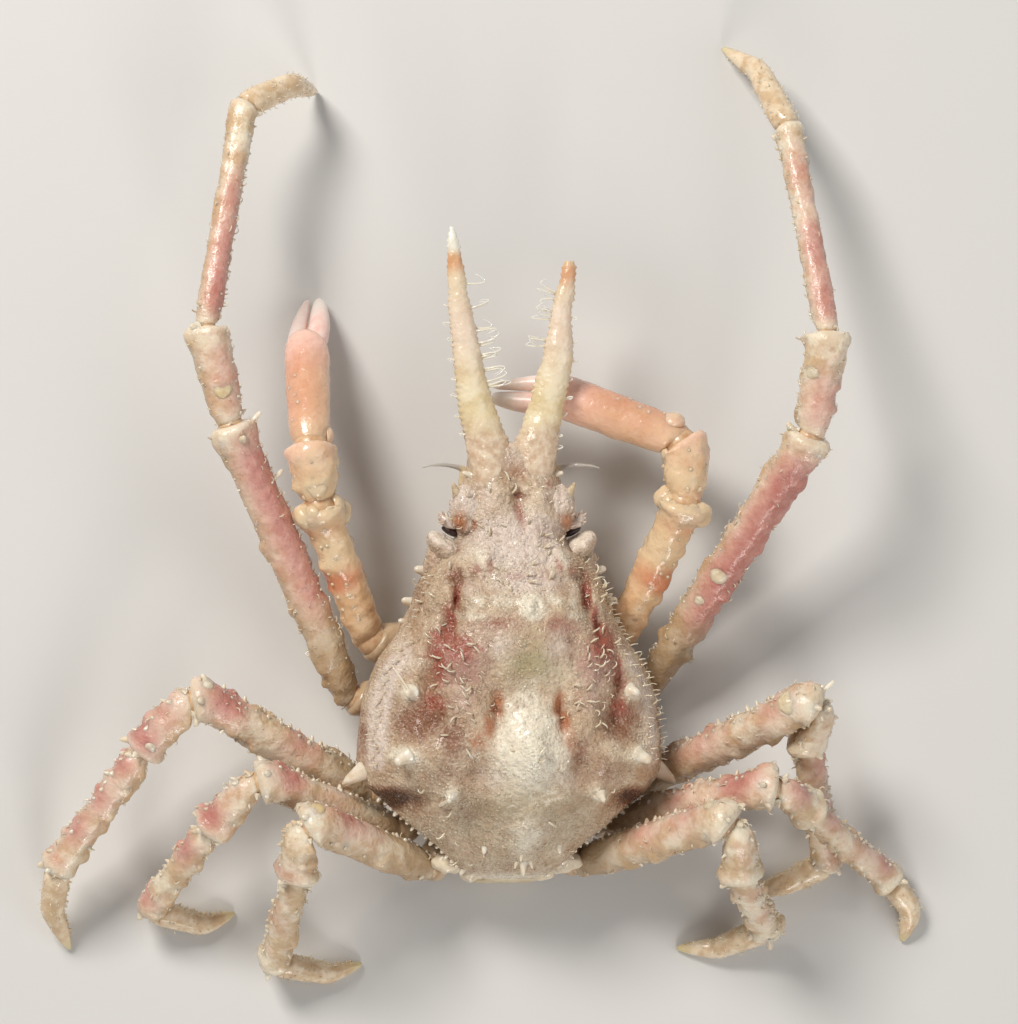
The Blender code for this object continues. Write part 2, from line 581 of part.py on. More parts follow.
def rounded(joints, radii):
    """Corners set out so that the arc round each passes near its joint, with the arcs' radii."""
    corners = [joint.copy() for joint in joints]
    fitted = [0.0] * len(joints)
    for _ in range(12):
        for i in range(1, len(joints) - 1):
            before, after = corners[i] - corners[i - 1], corners[i + 1] - corners[i]
            a, b = unit(before), unit(after)
            half = 0.5 * math.acos(max(-1.0, min(1.0, float(a @ b))))
            if half < 0.01:
                continue
            room = 0.46 * min(np.linalg.norm(before), np.linalg.norm(after)) / math.tan(half)
            fitted[i] = min(radii[i - 1], room)
            outset = 0 if i == 1 else OUTSET * fitted[i] * (1 / math.cos(half) - 1)
            corners[i] = joints[i] - unit(b - a) * outset
    return corners, fitted


def arc(corners, radii, i, first, last, count):
    """Points and directions on the arc at corner i, from first to last in parts of its half turn."""
    a, b = unit(corners[i] - corners[i - 1]), unit(corners[i + 1] - corners[i])
    half = 0.5 * math.acos(max(-1.0, min(1.0, float(a @ b))))
    if half < 0.01:
        return [(corners[i], unit(a + b))]
    inward, ahead = unit(b - a), unit(a + b)
    centre = corners[i] + inward * radii[i] / math.cos(half)
    found = []
    for part in np.linspace(first, last, count):
        turn = part * half
        found.append((centre + radii[i] * (ahead * math.sin(turn) - inward * math.cos(turn)),
                      ahead * math.cos(turn) + inward * math.sin(turn)))
    return found


def article_line(corners, radii, first, last, straight):
    """Centre line of an article from joint first to joint last, with its directions."""
    line = [] if first == 0 else arc(corners, radii, first, 0, 1, 3)
    if first == 0:
        line.append((corners[0], unit(corners[1] - corners[0])))
    for i in range(first + 1, last + 1):
        ending = i == len(corners) - 1
        if ending:
            follow = [(corners[i], unit(corners[i] - corners[i - 1]))]
        else:
            follow = arc(corners, radii, i, -1, 0 if i == last else 1, 3)
        start, stop = line[-1][0], follow[0][0]
        for t in np.linspace(0, 1, straight + 2)[1:-1]:
            line.append((start + (stop - start) * t, unit(stop - start)))
        line += follow
    return line


def article(name, line, profile, scale, planes, up, side_sign, taper=False):
    """A loft along a centre line, clear of the planes of its two joints. Also gives its frames."""
    points = np.array([point for point, _ in line])
    lengths = np.concatenate([[0], np.cumsum(np.linalg.norm(np.diff(points, axis=0), axis=1))])
    places = lengths / lengths[-1]
    rings, frames = [], []
    for k, ((point, ahead), place) in enumerate(zip(line, places)):
        up = unit(up - ahead * (up @ ahead))
        side = np.cross(ahead, up) * side_sign
        radius = float(along(profile, place)) * scale
        ring = circle(point, side, up, radius, SIDES_OF_LEG, math.pi / SIDES_OF_LEG)
        for plane, order in zip(planes, (k, len(line) - 1 - k)):
            ring = held_clear(ring, [plane], GAP / 2 + RING_STEP * order)
        rings.append(ring)
        frames.append((place, point, ahead, side, up, radius))
    tip = points[-1] + line[-1][1] * CLAW_POINT if taper else None
    return loft(name, rings, tip), frames, up


def spinule(frames, planes, place, angle, length):
    """A spinule that stands on an article, clear of its joints."""
    k = min(range(len(frames)), key=lambda i: abs(frames[i][0] - place))
    _, point, ahead, side, up, leg_radius = frames[k]
    turn = math.radians(angle)
    out = side * math.cos(turn) + up * math.sin(turn)
    root = point + out * leg_radius * (1 - SPINULE_DEPTH)
    tip = root + unit(out + ahead * SPINULE_LEAN) * (length + leg_radius * SPINULE_DEPTH)
    return spine(root, tip, SPINULE_RADIUS, planes=planes)


def make_leg(leg_name, side_name, side):
    """One leg with its root stub, which is returned to be joined to the thorax."""
    leg = LEGS[leg_name]
    joints = leg_joints(leg, side_name, side)
    chela = leg_name == "leg1"
    if chela:
        heading, height = FINGER_HEADING[side_name]
        step = heading_step(side, FINGER_LENGTH[side_name], heading, height - joints[-1][2])
        joints.append(joints[-1] + step)
    corners, radii = rounded(joints, BEND[leg_name])
    apex = [arc(corners, radii, i, 0, 0, 1)[0] for i in range(1, len(corners) - 1)]
    apex = [(None, None)] + [(point, ahead) for point, ahead in apex] + [(None, None)]

    def planes(first, last):
        """The joint planes at both ends of an article, each with the way into it."""
        far, ahead = apex[last]
        return apex[first], (far, None if far is None else -ahead)

    up = np.array((0.0, 0.0, 1.0))
    stub, _, up = article("stub", article_line(corners, radii, 0, 1, 1), COXA, COXA_RADIUS[leg_name],
                          planes(0, 1), up, side)
    profiles, spots = (CHELIPED, CHELIPED_SPINULES) if chela else (WALKING, SPINULES)
    for k, (part, scale) in enumerate(zip(profiles, THICKNESS[leg_name])):
        claw = part == "dactyl"
        last = len(corners) - 1 if claw else k + 2
        line = article_line(corners, radii, k + 1, last, STRAIGHT_RINGS[part])
        name = "_".join((leg_name, part, side_name))
        joint_planes = planes(k + 1, last)
        body, frames, up = article(name, line, profiles[part], scale, joint_planes, up, side, claw)
        pieces = [spinule(frames, joint_planes, *spot) for spot in spots[part]]
        if part == "palm":
            pieces.append(fixed_finger(frames[-1], joints[-1], side))
            make_finger(leg_name, side_name, side, frames[-1], joints[-1])
        colour = "cheliped" if chela else "claw" if claw else "walking_leg"
        finish(fuse(body, pieces), joints[k + 1], colour)
    return stub


def claw_frame(palm_end, side):
    """Where the fingers start at the end of the palm, their way ahead and the way to the moving finger."""
    _, point, ahead, *_ = palm_end
    return point, ahead, unit(np.cross(ahead, (0, 0, 1))) * side


def fixed_finger(palm_end, tip, side):
    point, ahead, inward = claw_frame(palm_end, side)
    outward = -inward
    start = point + outward * FINGER_SPREAD - ahead * 1.2
    end = tip + outward * FINGER_TIP_SPREAD
    reach = np.linspace(0, 1, 6)[:, None]
    bow = outward * FINGER_CURVE * np.sin(reach * math.pi)
    radii = FIXED_RADIUS * np.array((1.0, 0.98, 0.85, 0.66, 0.42, 0.2))
    return tube("fixed_finger", start + (end - start) * reach + bow, radii, 8)


def make_finger(leg_name, side_name, side, palm_end, tip):
    point, ahead, inward = claw_frame(palm_end, side)
    start = point + inward * FINGER_SPREAD + ahead * GAP
    end = tip + inward * FINGER_TIP_SPREAD
    reach = np.linspace(0, 1, 7)[:, None]
    bow = inward * FINGER_CURVE * np.sin(reach * math.pi)
    radii = FINGER_RADIUS * np.array((1.0, 1.02, 0.98, 0.88, 0.74, 0.56, 0.34))
    finger = tube("_".join((leg_name, "finger", side_name)), start + (end - start) * reach + bow, radii, 8)
    finish(fuse(finger, []), start, "finger")


for old in list(bpy.data.objects):
    bpy.data.objects.remove(old)
animal = bpy.data.objects.new("spider_crab", None)
bpy.context.collection.objects.link(animal)
make_carapace()
make_abdomen()
stubs = []
for side_name, side in SIDES:
    make_rostral_spine(side_name, side)
    make_eye(side_name, side)
    make_antenna(side_name, side)
    make_maxilliped(side_name, side)
    for leg_name in LEGS:
        stubs.append(make_leg(leg_name, side_name, side))
make_thorax(stubs)
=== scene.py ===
# A spider crab, Hyastenus hilgendorfi, life size, at rest on its belly and the tips of its legs.
# Sizes are in millimetres until a mesh is made. The head faces -Y, +Z is up, the animal's left is +X.

import math

import bpy
import numpy as np
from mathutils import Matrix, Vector


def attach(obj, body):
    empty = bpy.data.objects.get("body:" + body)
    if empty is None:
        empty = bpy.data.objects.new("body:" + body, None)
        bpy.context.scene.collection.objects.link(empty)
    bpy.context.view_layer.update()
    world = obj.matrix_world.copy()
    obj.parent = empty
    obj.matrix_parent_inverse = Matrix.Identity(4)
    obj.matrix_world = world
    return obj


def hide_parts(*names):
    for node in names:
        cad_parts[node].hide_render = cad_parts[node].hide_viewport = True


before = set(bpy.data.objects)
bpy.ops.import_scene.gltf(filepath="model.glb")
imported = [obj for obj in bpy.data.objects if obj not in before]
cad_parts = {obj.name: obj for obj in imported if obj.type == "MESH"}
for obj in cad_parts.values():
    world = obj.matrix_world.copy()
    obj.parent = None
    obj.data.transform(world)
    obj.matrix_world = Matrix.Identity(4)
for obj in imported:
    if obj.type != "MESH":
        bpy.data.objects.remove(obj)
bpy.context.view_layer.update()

# Carapace
# The shield over head and body: one hard wet plate, swollen over stomach, heart and gills, with grooves
# between. It is one closed skin over rings from front to back, and rests on the thorax.

MM = 0.001
SIDES = (("left", 1), ("right", -1))

# The body's own frame: u to its left, v back from the fork of the rostrum, w up. It leans to its right.
LEAN = math.radians(7.0)
LEAN_HEIGHT = 2.5
FORK = (0.46, -4.52)
BOX_CENTRE = (1.80, 0.13)

HALF_WIDTH = ((0, 2.9), (2, 2.95), (3.2, 3.45), (4.2, 3.75), (5, 3.85), (6, 3.6), (7.4, 4.75), (8.6, 5.7),
              (10.2, 6.4), (11.5, 6.9), (12.8, 7.6), (14, 8.5), (15.3, 9.1), (17, 9.6),
              (20.4, 9.9), (21.6, 9.6), (22.4, 9.0),
              (23.3, 8.0), (24.3, 6.9), (25.2, 5.8), (26, 4.8), (27, 3.8), (27.8, 2.9), (28.3, 1.7))
CREST = ((0, 9.0), (4, 9.5), (7, 10.3), (10.2, 11.9), (13, 12.3), (16.5, 12.0), (19.5, 12.5), (22, 11.8),
         (24.5, 10.2), (26.8, 8.4), (28.3, 6.2))
EDGE = ((0, 7.9), (5, 7.2), (8, 6.6), (12, 6.2), (21, 6.2), (25, 5.8), (28.3, 5.7))
UNDERSIDE = ((0, 7.0), (3, 6.2), (5, 5.2), (8, 4.35), (12, 4.3), (22, 4.3), (25, 4.7), (28.3, 5.0))
MIDLINE = ((0, 0), (4, -0.3), (9, -0.6), (28.3, -0.7))      # u of the crest, which sits off the middle
SHELL_LENGTH = 28.3                                         # v of the rear edge
ROUNDNESS = 2.3

# Swellings (height above 0) and grooves: u, v, half length across and along, height. u above 0 is paired.
REGIONS = (
    (0, 10.5, 0.7, 0.7, 0.5), (0, 12.6, 2.6, 2.2, 0.4), (0, 7.4, 1.5, 1.6, 0.18),
    (2.7, 7.4, 0.75, 1.1, 0.45), (1.5, 3.4, 0.8, 1.6, 0.25), (0, 3.6, 0.5, 1.8, -0.28),
    (2.3, 10.6, 1.1, 0.9, 0.3), (0, 19.3, 1.5, 2.7, 0.8), (0, 15.9, 1.5, 0.9, -0.22),
    (0, 24.9, 1.5, 2.0, 0.4), (0, 22.5, 1.2, 0.8, -0.12),
    (3.8, 17.0, 1.2, 1.7, 0.55), (4.7, 13.7, 1.3, 1.5, 0.5), (5.6, 9.6, 1.1, 1.5, 0.45),
    (7.2, 16.0, 0.7, 0.7, 0.6), (7.5, 20.0, 0.9, 0.85, 0.8), (4.85, 22.5, 0.6, 0.6, 0.5),
    (5.7, 20.0, 1.1, 1.4, 0.35), (3.2, 20.9, 0.8, 1.1, -0.3), (2.2, 22.9, 0.9, 0.8, 0.2),
    (4.15, 10.0, 0.33, 1.4, -0.75), (4.85, 12.0, 0.4, 1.0, -0.65), (2.05, 17.3, 0.33, 1.3, -0.6),
    (6.15, 15.2, 0.4, 1.6, -0.55), (5.8, 17.9, 0.7, 0.7, -0.4), (7.2, 22.9, 1.4, 0.7, -0.75),
    (3.2, 24.0, 1.0, 1.2, -0.3), (2.6, 9.0, 0.5, 0.6, -0.25), (3.9, 6.15, 0.8, 0.6, -1.2),
    (3.6, 8.9, 0.5, 0.5, -0.3),
)
RELIEF = 1.3
RIM_IN, RIM_HALF, RIM_HEIGHT = 1.0, 0.5, 0.34               # ridge inside the side edge, over the gills
RIM_FROM, RIM_TO = 12.8, 21.6
SHELL_ROWS, SHELL_OVER, SHELL_UNDER = 290, 150, 50
FRONT_ROUNDING = 1.1


def along(table, place):
    """A table of (place, value) read at place, smooth and without overshoot."""
    places, values = np.array(table, float).T
    if places[0] > places[-1]:
        places, values = places[::-1], values[::-1]
    steps = np.diff(places)
    rates = np.diff(values) / steps
    slopes = np.concatenate([rates[:1], np.zeros(len(rates) - 1), rates[-1:]])
    for i in range(1, len(rates)):
        if rates[i - 1] * rates[i] > 0:
            slopes[i] = 2 * rates[i - 1] * rates[i] / (rates[i - 1] + rates[i])
    i = np.clip(np.searchsorted(places, place) - 1, 0, len(steps) - 1)
    t = np.clip((place - places[i]) / steps[i], 0, 1)
    return (values[i] * (1 + 2 * t) * (1 - t) ** 2 + values[i + 1] * t * t * (3 - 2 * t)
            + steps[i] * t * (1 - t) * (slopes[i] * (1 - t) - slopes[i + 1] * t))


def unit(vectors):
    return vectors / np.linalg.norm(vectors, axis=-1, keepdims=True)


def stand(points):
    """Points of the body's frame (u, v, w) in the room."""
    u, v, w = np.moveaxis(np.asarray(points, float), -1, 0)
    rise = w - LEAN_HEIGHT
    x = FORK[0] + u * math.cos(LEAN) - rise * math.sin(LEAN)
    z = LEAN_HEIGHT + u * math.sin(LEAN) + rise * math.cos(LEAN)
    return np.stack([x, FORK[1] + v, z], axis=-1)


def lumps(points, size, seed=0):
    """Smooth noise from -1 to 1 over points, with lumps about as wide as size."""
    cell = np.asarray(points, float) / size + seed * 31.7
    corner = np.floor(cell)
    part = cell - corner
    part = part * part * (3 - 2 * part)
    total = np.zeros(cell.shape[:-1])
    for k in range(8):
        step = np.array((k & 1, k >> 1 & 1, k >> 2))
        value = np.sin((corner + step) @ (12.9898, 78.233, 37.719)) * 43758.5453
        weight = np.prod(np.where(step, part, 1 - part), axis=-1)
        total = total + (2 * (value - np.floor(value)) - 1) * weight
    return total


def bell(x):
    return np.exp(-x * x)


def skewed(u, v):
    """u measured from the crest, which fades to the side edges."""
    reach = np.clip(u / along(HALF_WIDTH, v), -1, 1)
    return u - along(MIDLINE, v) * (1 - reach * reach)


def wavy(u, v, amount):
    """u from the crest, shifted to and fro so that nothing drawn by it is straight."""
    places = np.stack(np.broadcast_arrays(u, v, 0.0), axis=-1)
    return skewed(u, v) + amount * (lumps(places, 0.9, 6) + 0.5 * lumps(places, 0.35, 7))


def shell_height(u, v, upper=True):
    """Height of the upper or the lower side of the shield."""
    half = along(HALF_WIDTH, v)
    across = skewed(u, v)
    reach = np.minimum(np.abs(across) / half, 1)
    bow = (1 - reach ** ROUNDNESS) ** (1 / ROUNDNESS)
    edge = along(EDGE, v)
    if not upper:
        return edge - (edge - along(UNDERSIDE, v)) * bow
    return edge + (along(CREST, v) - edge) * bow + RELIEF * relief_at(u, v) * (1 - reach ** 6)


def relief_at(u, v):
    """How far the swellings and grooves lift the shield."""
    half = along(HALF_WIDTH, v)
    across = wavy(u, v, 0.16)
    relief = np.zeros(np.shape(across))
    for region_u, region_v, half_u, half_v, rise in REGIONS:
        row = bell((v - region_v) / half_v)
        for side in ((1,) if region_u == 0 else (1, -1)):
            relief = relief + rise * bell((across - side * region_u) / half_u) * row
    ridge = bell((np.abs(u) - (half - RIM_IN)) / RIM_HALF)
    window = np.clip((v - RIM_FROM) / 1.5, 0, 1) * np.clip((RIM_TO - v) / 1.5, 0, 1)
    return relief + RIM_HEIGHT * ridge * window


def shell_spot(u, v):
    """A place on the upper side, in the room, and the way out of the shell there."""
    step = 0.15
    inner = u - math.copysign(step, u)
    here, beside, behind = (stand((a, b, float(shell_height(a, b))))
                            for a, b in ((u, v), (inner, v), (u, v + step)))
    out = np.cross(beside - here, behind - here)
    out = out if out[2] > 0 else -out
    return here, unit(out)


class Value:
    """A socket of a shader that sums like a number."""

    def __init__(self, finish, socket):
        self.finish = finish
        self.socket = socket

    def sum(self, operation, *terms):
        return self.finish.node("ShaderNodeMath", {"operation": operation}, terms)

    def __add__(self, other):
        return self.sum("ADD", self, other)

    def __sub__(self, other):
        return self.sum("SUBTRACT", self, other)

    def __rsub__(self, other):
        return self.sum("SUBTRACT", other, self)

    def __mul__(self, other):
        return self.sum("MULTIPLY", self, other)

    def between(self, low, high):
        """0 below low, 1 above high, smooth between them."""
        limits = {"Value": self, "From Min": low, "From Max": high}
        return self.finish.node("ShaderNodeMapRange", {"interpolation_type": "SMOOTHSTEP"}, limits)

    __radd__ = __add__
    __rmul__ = __mul__


class Finish:
    """A material whose nodes are added as its sums are written."""

    def __init__(self, name, **shader):
        self.material = bpy.data.materials.new(name)
        self.material.use_nodes = True
        self.tree = self.material.node_tree
        self.shader = self.tree.nodes["Principled BSDF"]
        self.set(Subsurface_Radius=(1.0, 0.75, 0.6), **shader)
        self.place = self.node("ShaderNodeTexCoord", output="Object")

    def set(self, **shader):
        """Sets or links sockets of the surface. An underscore stands for a space."""
        self.fill(self.shader, {name.replace("_", " "): value for name, value in shader.items()})

    def fill(self, node, inputs):
        for key, value in inputs.items():
            if isinstance(value, Value):
                self.tree.links.new(value.socket, node.inputs[key])
            else:
                node.inputs[key].default_value = value

    def node(self, kind, settings=None, inputs=(), output=0):
        made = self.tree.nodes.new(kind)
        for name, value in (settings or {}).items():
            setattr(made, name, value)
        self.fill(made, inputs if isinstance(inputs, dict) else dict(enumerate(inputs)))
        return Value(self, made.outputs[output])

    def mark(self, name):
        return self.node("ShaderNodeAttribute", {"attribute_name": name}, output="Fac")

    def noise(self, size, detail=3.0, roughness=0.55):
        """Noise whose lumps are about size millimetres wide."""
        inputs = {"Vector": self.place, "Scale": 1 / (size * MM), "Detail": detail, "Roughness": roughness}
        return self.node("ShaderNodeTexNoise", {}, inputs)

    def cells(self, size):
        inputs = {"Vector": self.place, "Scale": 1 / (size * MM), "Randomness": 1.0}
        return self.node("ShaderNodeTexVoronoi", {}, inputs)

    def mix(self, factor, first, second):
        """One colour turning into another."""
        return self.node("ShaderNodeMix", {"data_type": "RGBA"}, {0: factor, 6: first, 7: second}, 2)

    def relief(self, height, depth, strength=1.0):
        """The fine relief that is too small for the mesh, depth in millimetres."""
        inputs = {"Height": height, "Distance": depth * MM, "Strength": strength}
        self.set(Normal=self.node("ShaderNodeBump", {}, inputs))


def paint(red, green, blue):
    """A colour given as it looks on a screen, 0 to 255, as light adds it."""
    return tuple((c / 255 / 12.92 if c < 11 else ((c / 255 + 0.055) / 1.055) ** 2.4)
                 for c in (red, green, blue)) + (1,)


def skin(name, parts, finish):
    """One mesh of closed skins. A part is its rows of points and the marks that its material reads."""
    width = {mark: 3 if np.ndim(values) == 3 else 1 for _, part_marks in parts
             for mark, values in part_marks.items()}
    points, faces, marks = [], [], {mark: [] for mark in width}
    start = 0
    for rings, part_marks in parts:
        rows, count = rings.shape[:2]
        body = np.concatenate([rings.reshape(-1, 3), rings[:1].mean(axis=1), rings[-1:].mean(axis=1)])
        grid = np.arange(rows * count).reshape(rows, count)
        beside = np.roll(grid, -1, axis=1)
        quads = np.stack([grid[:-1], beside[:-1], beside[1:], grid[1:]], axis=-1).reshape(-1, 4)
        front = np.stack([np.full(count, rows * count), beside[0], grid[0]], axis=-1)
        back = np.stack([np.full(count, rows * count + 1), grid[-1], beside[-1]], axis=-1)
        corners = np.concatenate([quads[:, :3], quads[:, (0, 2, 3)], front, back])
        a, b, c = (body[corners[:, k]] for k in range(3))
        order = 1 if np.einsum("ij,ij->", a, np.cross(b, c)) > 0 else -1
        faces += [(side[:, ::order] + start).tolist() for side in (quads, front, back)]
        for mark, size in width.items():
            values = np.asarray(part_marks.get(mark, 0.0), float)
            values = values if values.ndim == 3 else np.broadcast_to(values, (rows, count))[..., None]
            values = np.broadcast_to(values, (rows, count, size))
            ends = [values[k].mean(axis=0)[None] for k in (0, -1)]
            marks[mark].append(np.concatenate([values.reshape(-1, size), *ends]))
        points.append(body)
        start += len(body)
    shift = np.array((*BOX_CENTRE, 0))
    room = (np.concatenate(points) - shift) * MM
    room[:, 2] = np.maximum(room[:, 2], 0)
    mesh = bpy.data.meshes.new(name)
    mesh.from_pydata(room.tolist(), [], [face for group in faces for face in group])
    for mark, values in marks.items():
        values = np.concatenate(values).astype(np.float32)
        kind, field = ("FLOAT", "value") if width[mark] == 1 else ("FLOAT_VECTOR", "vector")
        mesh.attributes.new(mark, kind, "POINT").data.foreach_set(field, values.ravel())
    mesh.shade_smooth()
    mesh.materials.append(finish.material)
    made = bpy.data.objects.new(name, mesh)
    bpy.context.collection.objects.link(made)
    return made


def spots(across, v, table):
    """How strongly soft round patches cover each place. The first value is the side, 0 for both."""
    total = np.zeros(np.broadcast(across, v).shape)
    for only, u, spot_v, half_u, half_v, amount in table:
        row = bell((v - spot_v) / half_v)
        for side in (1, -1):
            if only in (0, side):
                total = np.maximum(total, amount * bell((across - side * u) / half_u) * row)
    return total


# Markings: side, u, v, half length across and along, strength.
RED = ((0, 4.15, 9.9, 0.36, 0.8, 1.1), (0, 4.65, 11.3, 0.42, 0.9, 1.1), (0, 5.0, 12.4, 0.7, 0.8, 1.0),
       (1, 4.3, 13.1, 1.2, 1.0, 0.8), (1, 5.6, 14.2, 0.5, 1.8, 0.95), (1, 5.8, 16.6, 0.9, 0.8, 0.7),
       (-1, 5.3, 13.0, 1.2, 1.2, 0.95), (-1, 6.3, 14.8, 0.6, 1.4, 0.8), (-1, 6.2, 17.0, 0.7, 0.8, 0.6),
       (0, 1.75, 11.5, 1.3, 0.65, 0.5),
       (1, 3.1, 8.2, 0.45, 0.55, 0.6), (0, 0, 4.7, 0.4, 1.1, 0.6), (0, 2.3, 7.9, 0.35, 0.7, 0.6),
       (-1, 2.2, 2.7, 0.3, 0.4, 0.5), (-1, 3.2, 8.2, 0.5, 0.5, 0.5), (0, 1.1, 8.6, 1.0, 0.5, 0.35))
ORANGE = ((0, 3.25, 5.3, 0.42, 0.55, 1.0), (0, 3.5, 4.3, 0.4, 0.7, 0.5), (1, 1.95, 16.8, 0.36, 0.9, 1.0),
          (1, 2.5, 18.1, 0.42, 0.9, 0.9), (1, 3.1, 19.0, 0.6, 0.8, 0.6), (-1, 1.85, 16.8, 0.4, 0.8, 1.1),
          (-1, 2.1, 17.8, 0.42, 0.9, 0.95), (-1, 2.5, 19.0, 0.6, 1.0, 0.55), (0, 0.3, 2.1, 0.7, 0.6, 0.3))
BROWN = ((1, 8.2, 22.9, 1.25, 0.8, 1.4), (-1, 7.4, 22.9, 1.1, 0.7, 1.0), (1, 6.6, 17.8, 1.7, 1.5, 0.9),
         (1, 4.7, 18.9, 1.2, 1.6, 0.75), (-1, 6.2, 17.6, 1.4, 1.6, 0.95), (-1, 3.2, 19.9, 0.9, 1.4, 0.6),
         (0, 0.2, 2.0, 0.9, 0.9, 0.35), (0, 0, 3.4, 0.4, 0.5, 0.9), (1, 6.2, 9.9, 0.9, 1.7, 0.5),
         (0, 5.2, 21.2, 1.5, 1.4, 0.4), (0, 9.75, 18.0, 0.3, 3.4, 0.8), (0, 4.2, 8.6, 0.55, 0.7, 0.8),
         (0, 3.4, 24.0, 1.9, 1.1, 0.2), (0, 3.9, 6.9, 0.4, 0.3, 0.8), (0, 2.7, 13.2, 0.6, 1.5, 0.45),
         (0, 1.8, 6.0, 0.4, 0.8, 0.3), (-1, 1.2, 5.6, 0.8, 0.8, 0.35))
# The strong white spot at v 10.55, the knob over the stomach, is partly its pale shell and partly a painted
# highlight.
CREAM = ((0, 0.1, 19.4, 1.95, 2.6, 1.5), (0, 0, 16.6, 1.1, 1.2, 0.7), (0, 0, 10.55, 0.72, 0.66, 2.4),
         (0, 0, 25.6, 1.1, 1.6, 0.6), (0, 7.2, 16.0, 0.5, 0.55, 1.1), (0, 7.5, 20.0, 0.8, 0.6, 0.9),
         (0, 2.1, 0.9, 0.9, 1.0, 0.5), (0, 3.2, 11.1, 0.9, 0.35, 0.55), (0, 1.6, 10.1, 1.0, 0.45, 0.5),
         (0, 3.1, 10.3, 0.5, 0.6, 0.5), (0, 2.8, 7.4, 0.5, 0.8, 0.6), (0, 4.85, 22.5, 0.6, 0.6, 0.6),
         (0, 2.2, 22.7, 1.1, 0.9, 0.25), (0, 0, 28.2, 6.0, 0.4, 0.6), (0, 5.6, 25.2, 2.2, 0.6, 0.35))
MAUVE = ((0, 4.5, 14.2, 1.5, 1.7, 0.9), (0, 4.1, 16.4, 1.1, 1.2, 0.5), (0, 2.6, 11.9, 1.6, 0.8, 0.5))
DARK = ((1, 8.1, 22.9, 1.3, 0.62, 1.2), (-1, 7.3, 22.8, 1.0, 0.5, 0.9), (0, 3.85, 6.6, 0.4, 0.3, 0.6))
OLIVE = ((0, 0.2, 14.1, 1.0, 1.0, 1.0), (0, 0, 14.2, 2.3, 1.9, 0.55), (0, 0, 24.0, 4.5, 2.6, 0.6))
PALE = ((0, 0.9, 6.4, 2.4, 1.9, 1.15), (0, 2.0, 3.4, 0.7, 1.2, 0.55), (0, 0.0, 8.9, 2.8, 1.0, 0.9),
        (0, 2.0, 13.0, 1.5, 1.2, 0.5), (0, 0, 24.6, 3.4, 1.6, 0.4), (0, 2.4, 21.4, 1.0, 1.2, 0.45),
        (0, 0.0, 0.6, 2.8, 1.3, 0.45), (0, 3.3, 9.3, 0.8, 0.9, 0.4), (0, 7.4, 13.6, 0.6, 1.5, 0.55),
        (0, 4.2, 16.6, 0.8, 1.2, 0.3), (-1, 7.7, 17.8, 0.4, 1.6, 0.4))


def markings(u, v):
    """The marks of the shell's colours at each place, and where its hooked hairs stand."""
    across = wavy(u, v, 0.26)
    tables = {"red": RED, "orange": ORANGE, "brown": BROWN, "cream": CREAM, "olive": OLIVE, "pale": PALE,
              "mauve": MAUVE, "dark": DARK}
    marks = {name: spots(across, v, table) for name, table in tables.items()}
    inset = along(HALF_WIDTH, v) - np.abs(u)
    length = np.clip((v - 12.6) / 1.5, 0, 1) * np.clip((21.3 - v) / 0.8, 0, 1)
    margin = bell((inset - 0.95) / 0.55) * length
    marks["pale"] = np.maximum(marks["pale"], margin * np.where(u > 0, 1.3, 0.7))
    for name in ("brown", "red"):
        marks[name] = marks[name] * (1 - 0.8 * margin) * (1 - 0.6 * np.clip(marks["cream"], 0, 1))
    edge = bell((inset - 0.5) / 0.5) * np.clip((v - 8) / 2, 0, 1) * np.clip((21.5 - v) / 1.5, 0, 1)
    marks["bristle"] = np.clip(spots(across, v, BRISTLES) + 0.1 * edge * (u < 0), 0, 1)
    return marks


BRISTLES = ((0, 4.6, 14.2, 1.2, 1.6, 0.8), (0, 3.9, 16.4, 1.1, 1.4, 0.6), (0, 1.5, 8.3, 2.4, 1.4, 0.22),
            (0, 1.0, 4.6, 2.4, 2.4, 0.16), (0, 5.4, 9.8, 1.2, 2.0, 0.2), (0, 0.8, 20.7, 1.2, 0.8, 0.15),
            (0, 4.6, 22.4, 1.0, 1.0, 0.2), (0, 2.4, 25.6, 2.0, 1.4, 0.06))


def shell_colours(finish):
    """Beige shell, mottled grain by grain, with the marks painted over it. Brown in the hollows and cream on
    the bosses is partly the shell's own colour and partly painted shade and painted highlight.
    """
    broad = finish.noise(2.2, 3.0)
    grain = finish.noise(0.28, 3.0, 0.65)
    colour = finish.mix(broad.between(0.35, 0.68), paint(190, 160, 130), paint(220, 200, 172))
    colour = finish.mix(grain.between(0.42, 0.7) * 0.34, colour, paint(152, 116, 88))
    ragged = (finish.noise(0.6, 4.0, 0.7) - 0.5) * 0.8 + (finish.noise(0.2, 2.0) - 0.5) * 0.7
    # hollow and boss: brown in the hollows is partly the shell's own colour and partly painted shade; cream
    # on the bosses is partly its own colour and partly painted highlight.
    for name, tint, most in (("hollow", paint(140, 98, 64), 0.65), ("boss", paint(218, 200, 164), 0.6),
                             ("olive", paint(172, 160, 118), 0.75), ("mauve", paint(178, 130, 118), 0.8),
                             ("pale", paint(230, 212, 198), 0.85), ("cream", paint(246, 236, 214), 0.92),
                             ("brown", paint(132, 80, 52), 0.88), ("red", paint(152, 62, 44), 0.82),
                             ("orange", paint(176, 104, 62), 0.85), ("dark", paint(58, 28, 16), 0.9),
                             ("tip", paint(226, 206, 176), 0.16)):
        mark = finish.mark(name)
        cover = (mark + ragged * mark.between(0.02, 0.4)).between(0.02, 0.85)
        colour = finish.mix(cover * most, colour, tint)
    return finish.mix(grain.between(0.45, 0.75) * 0.18, colour, paint(160, 120, 94))


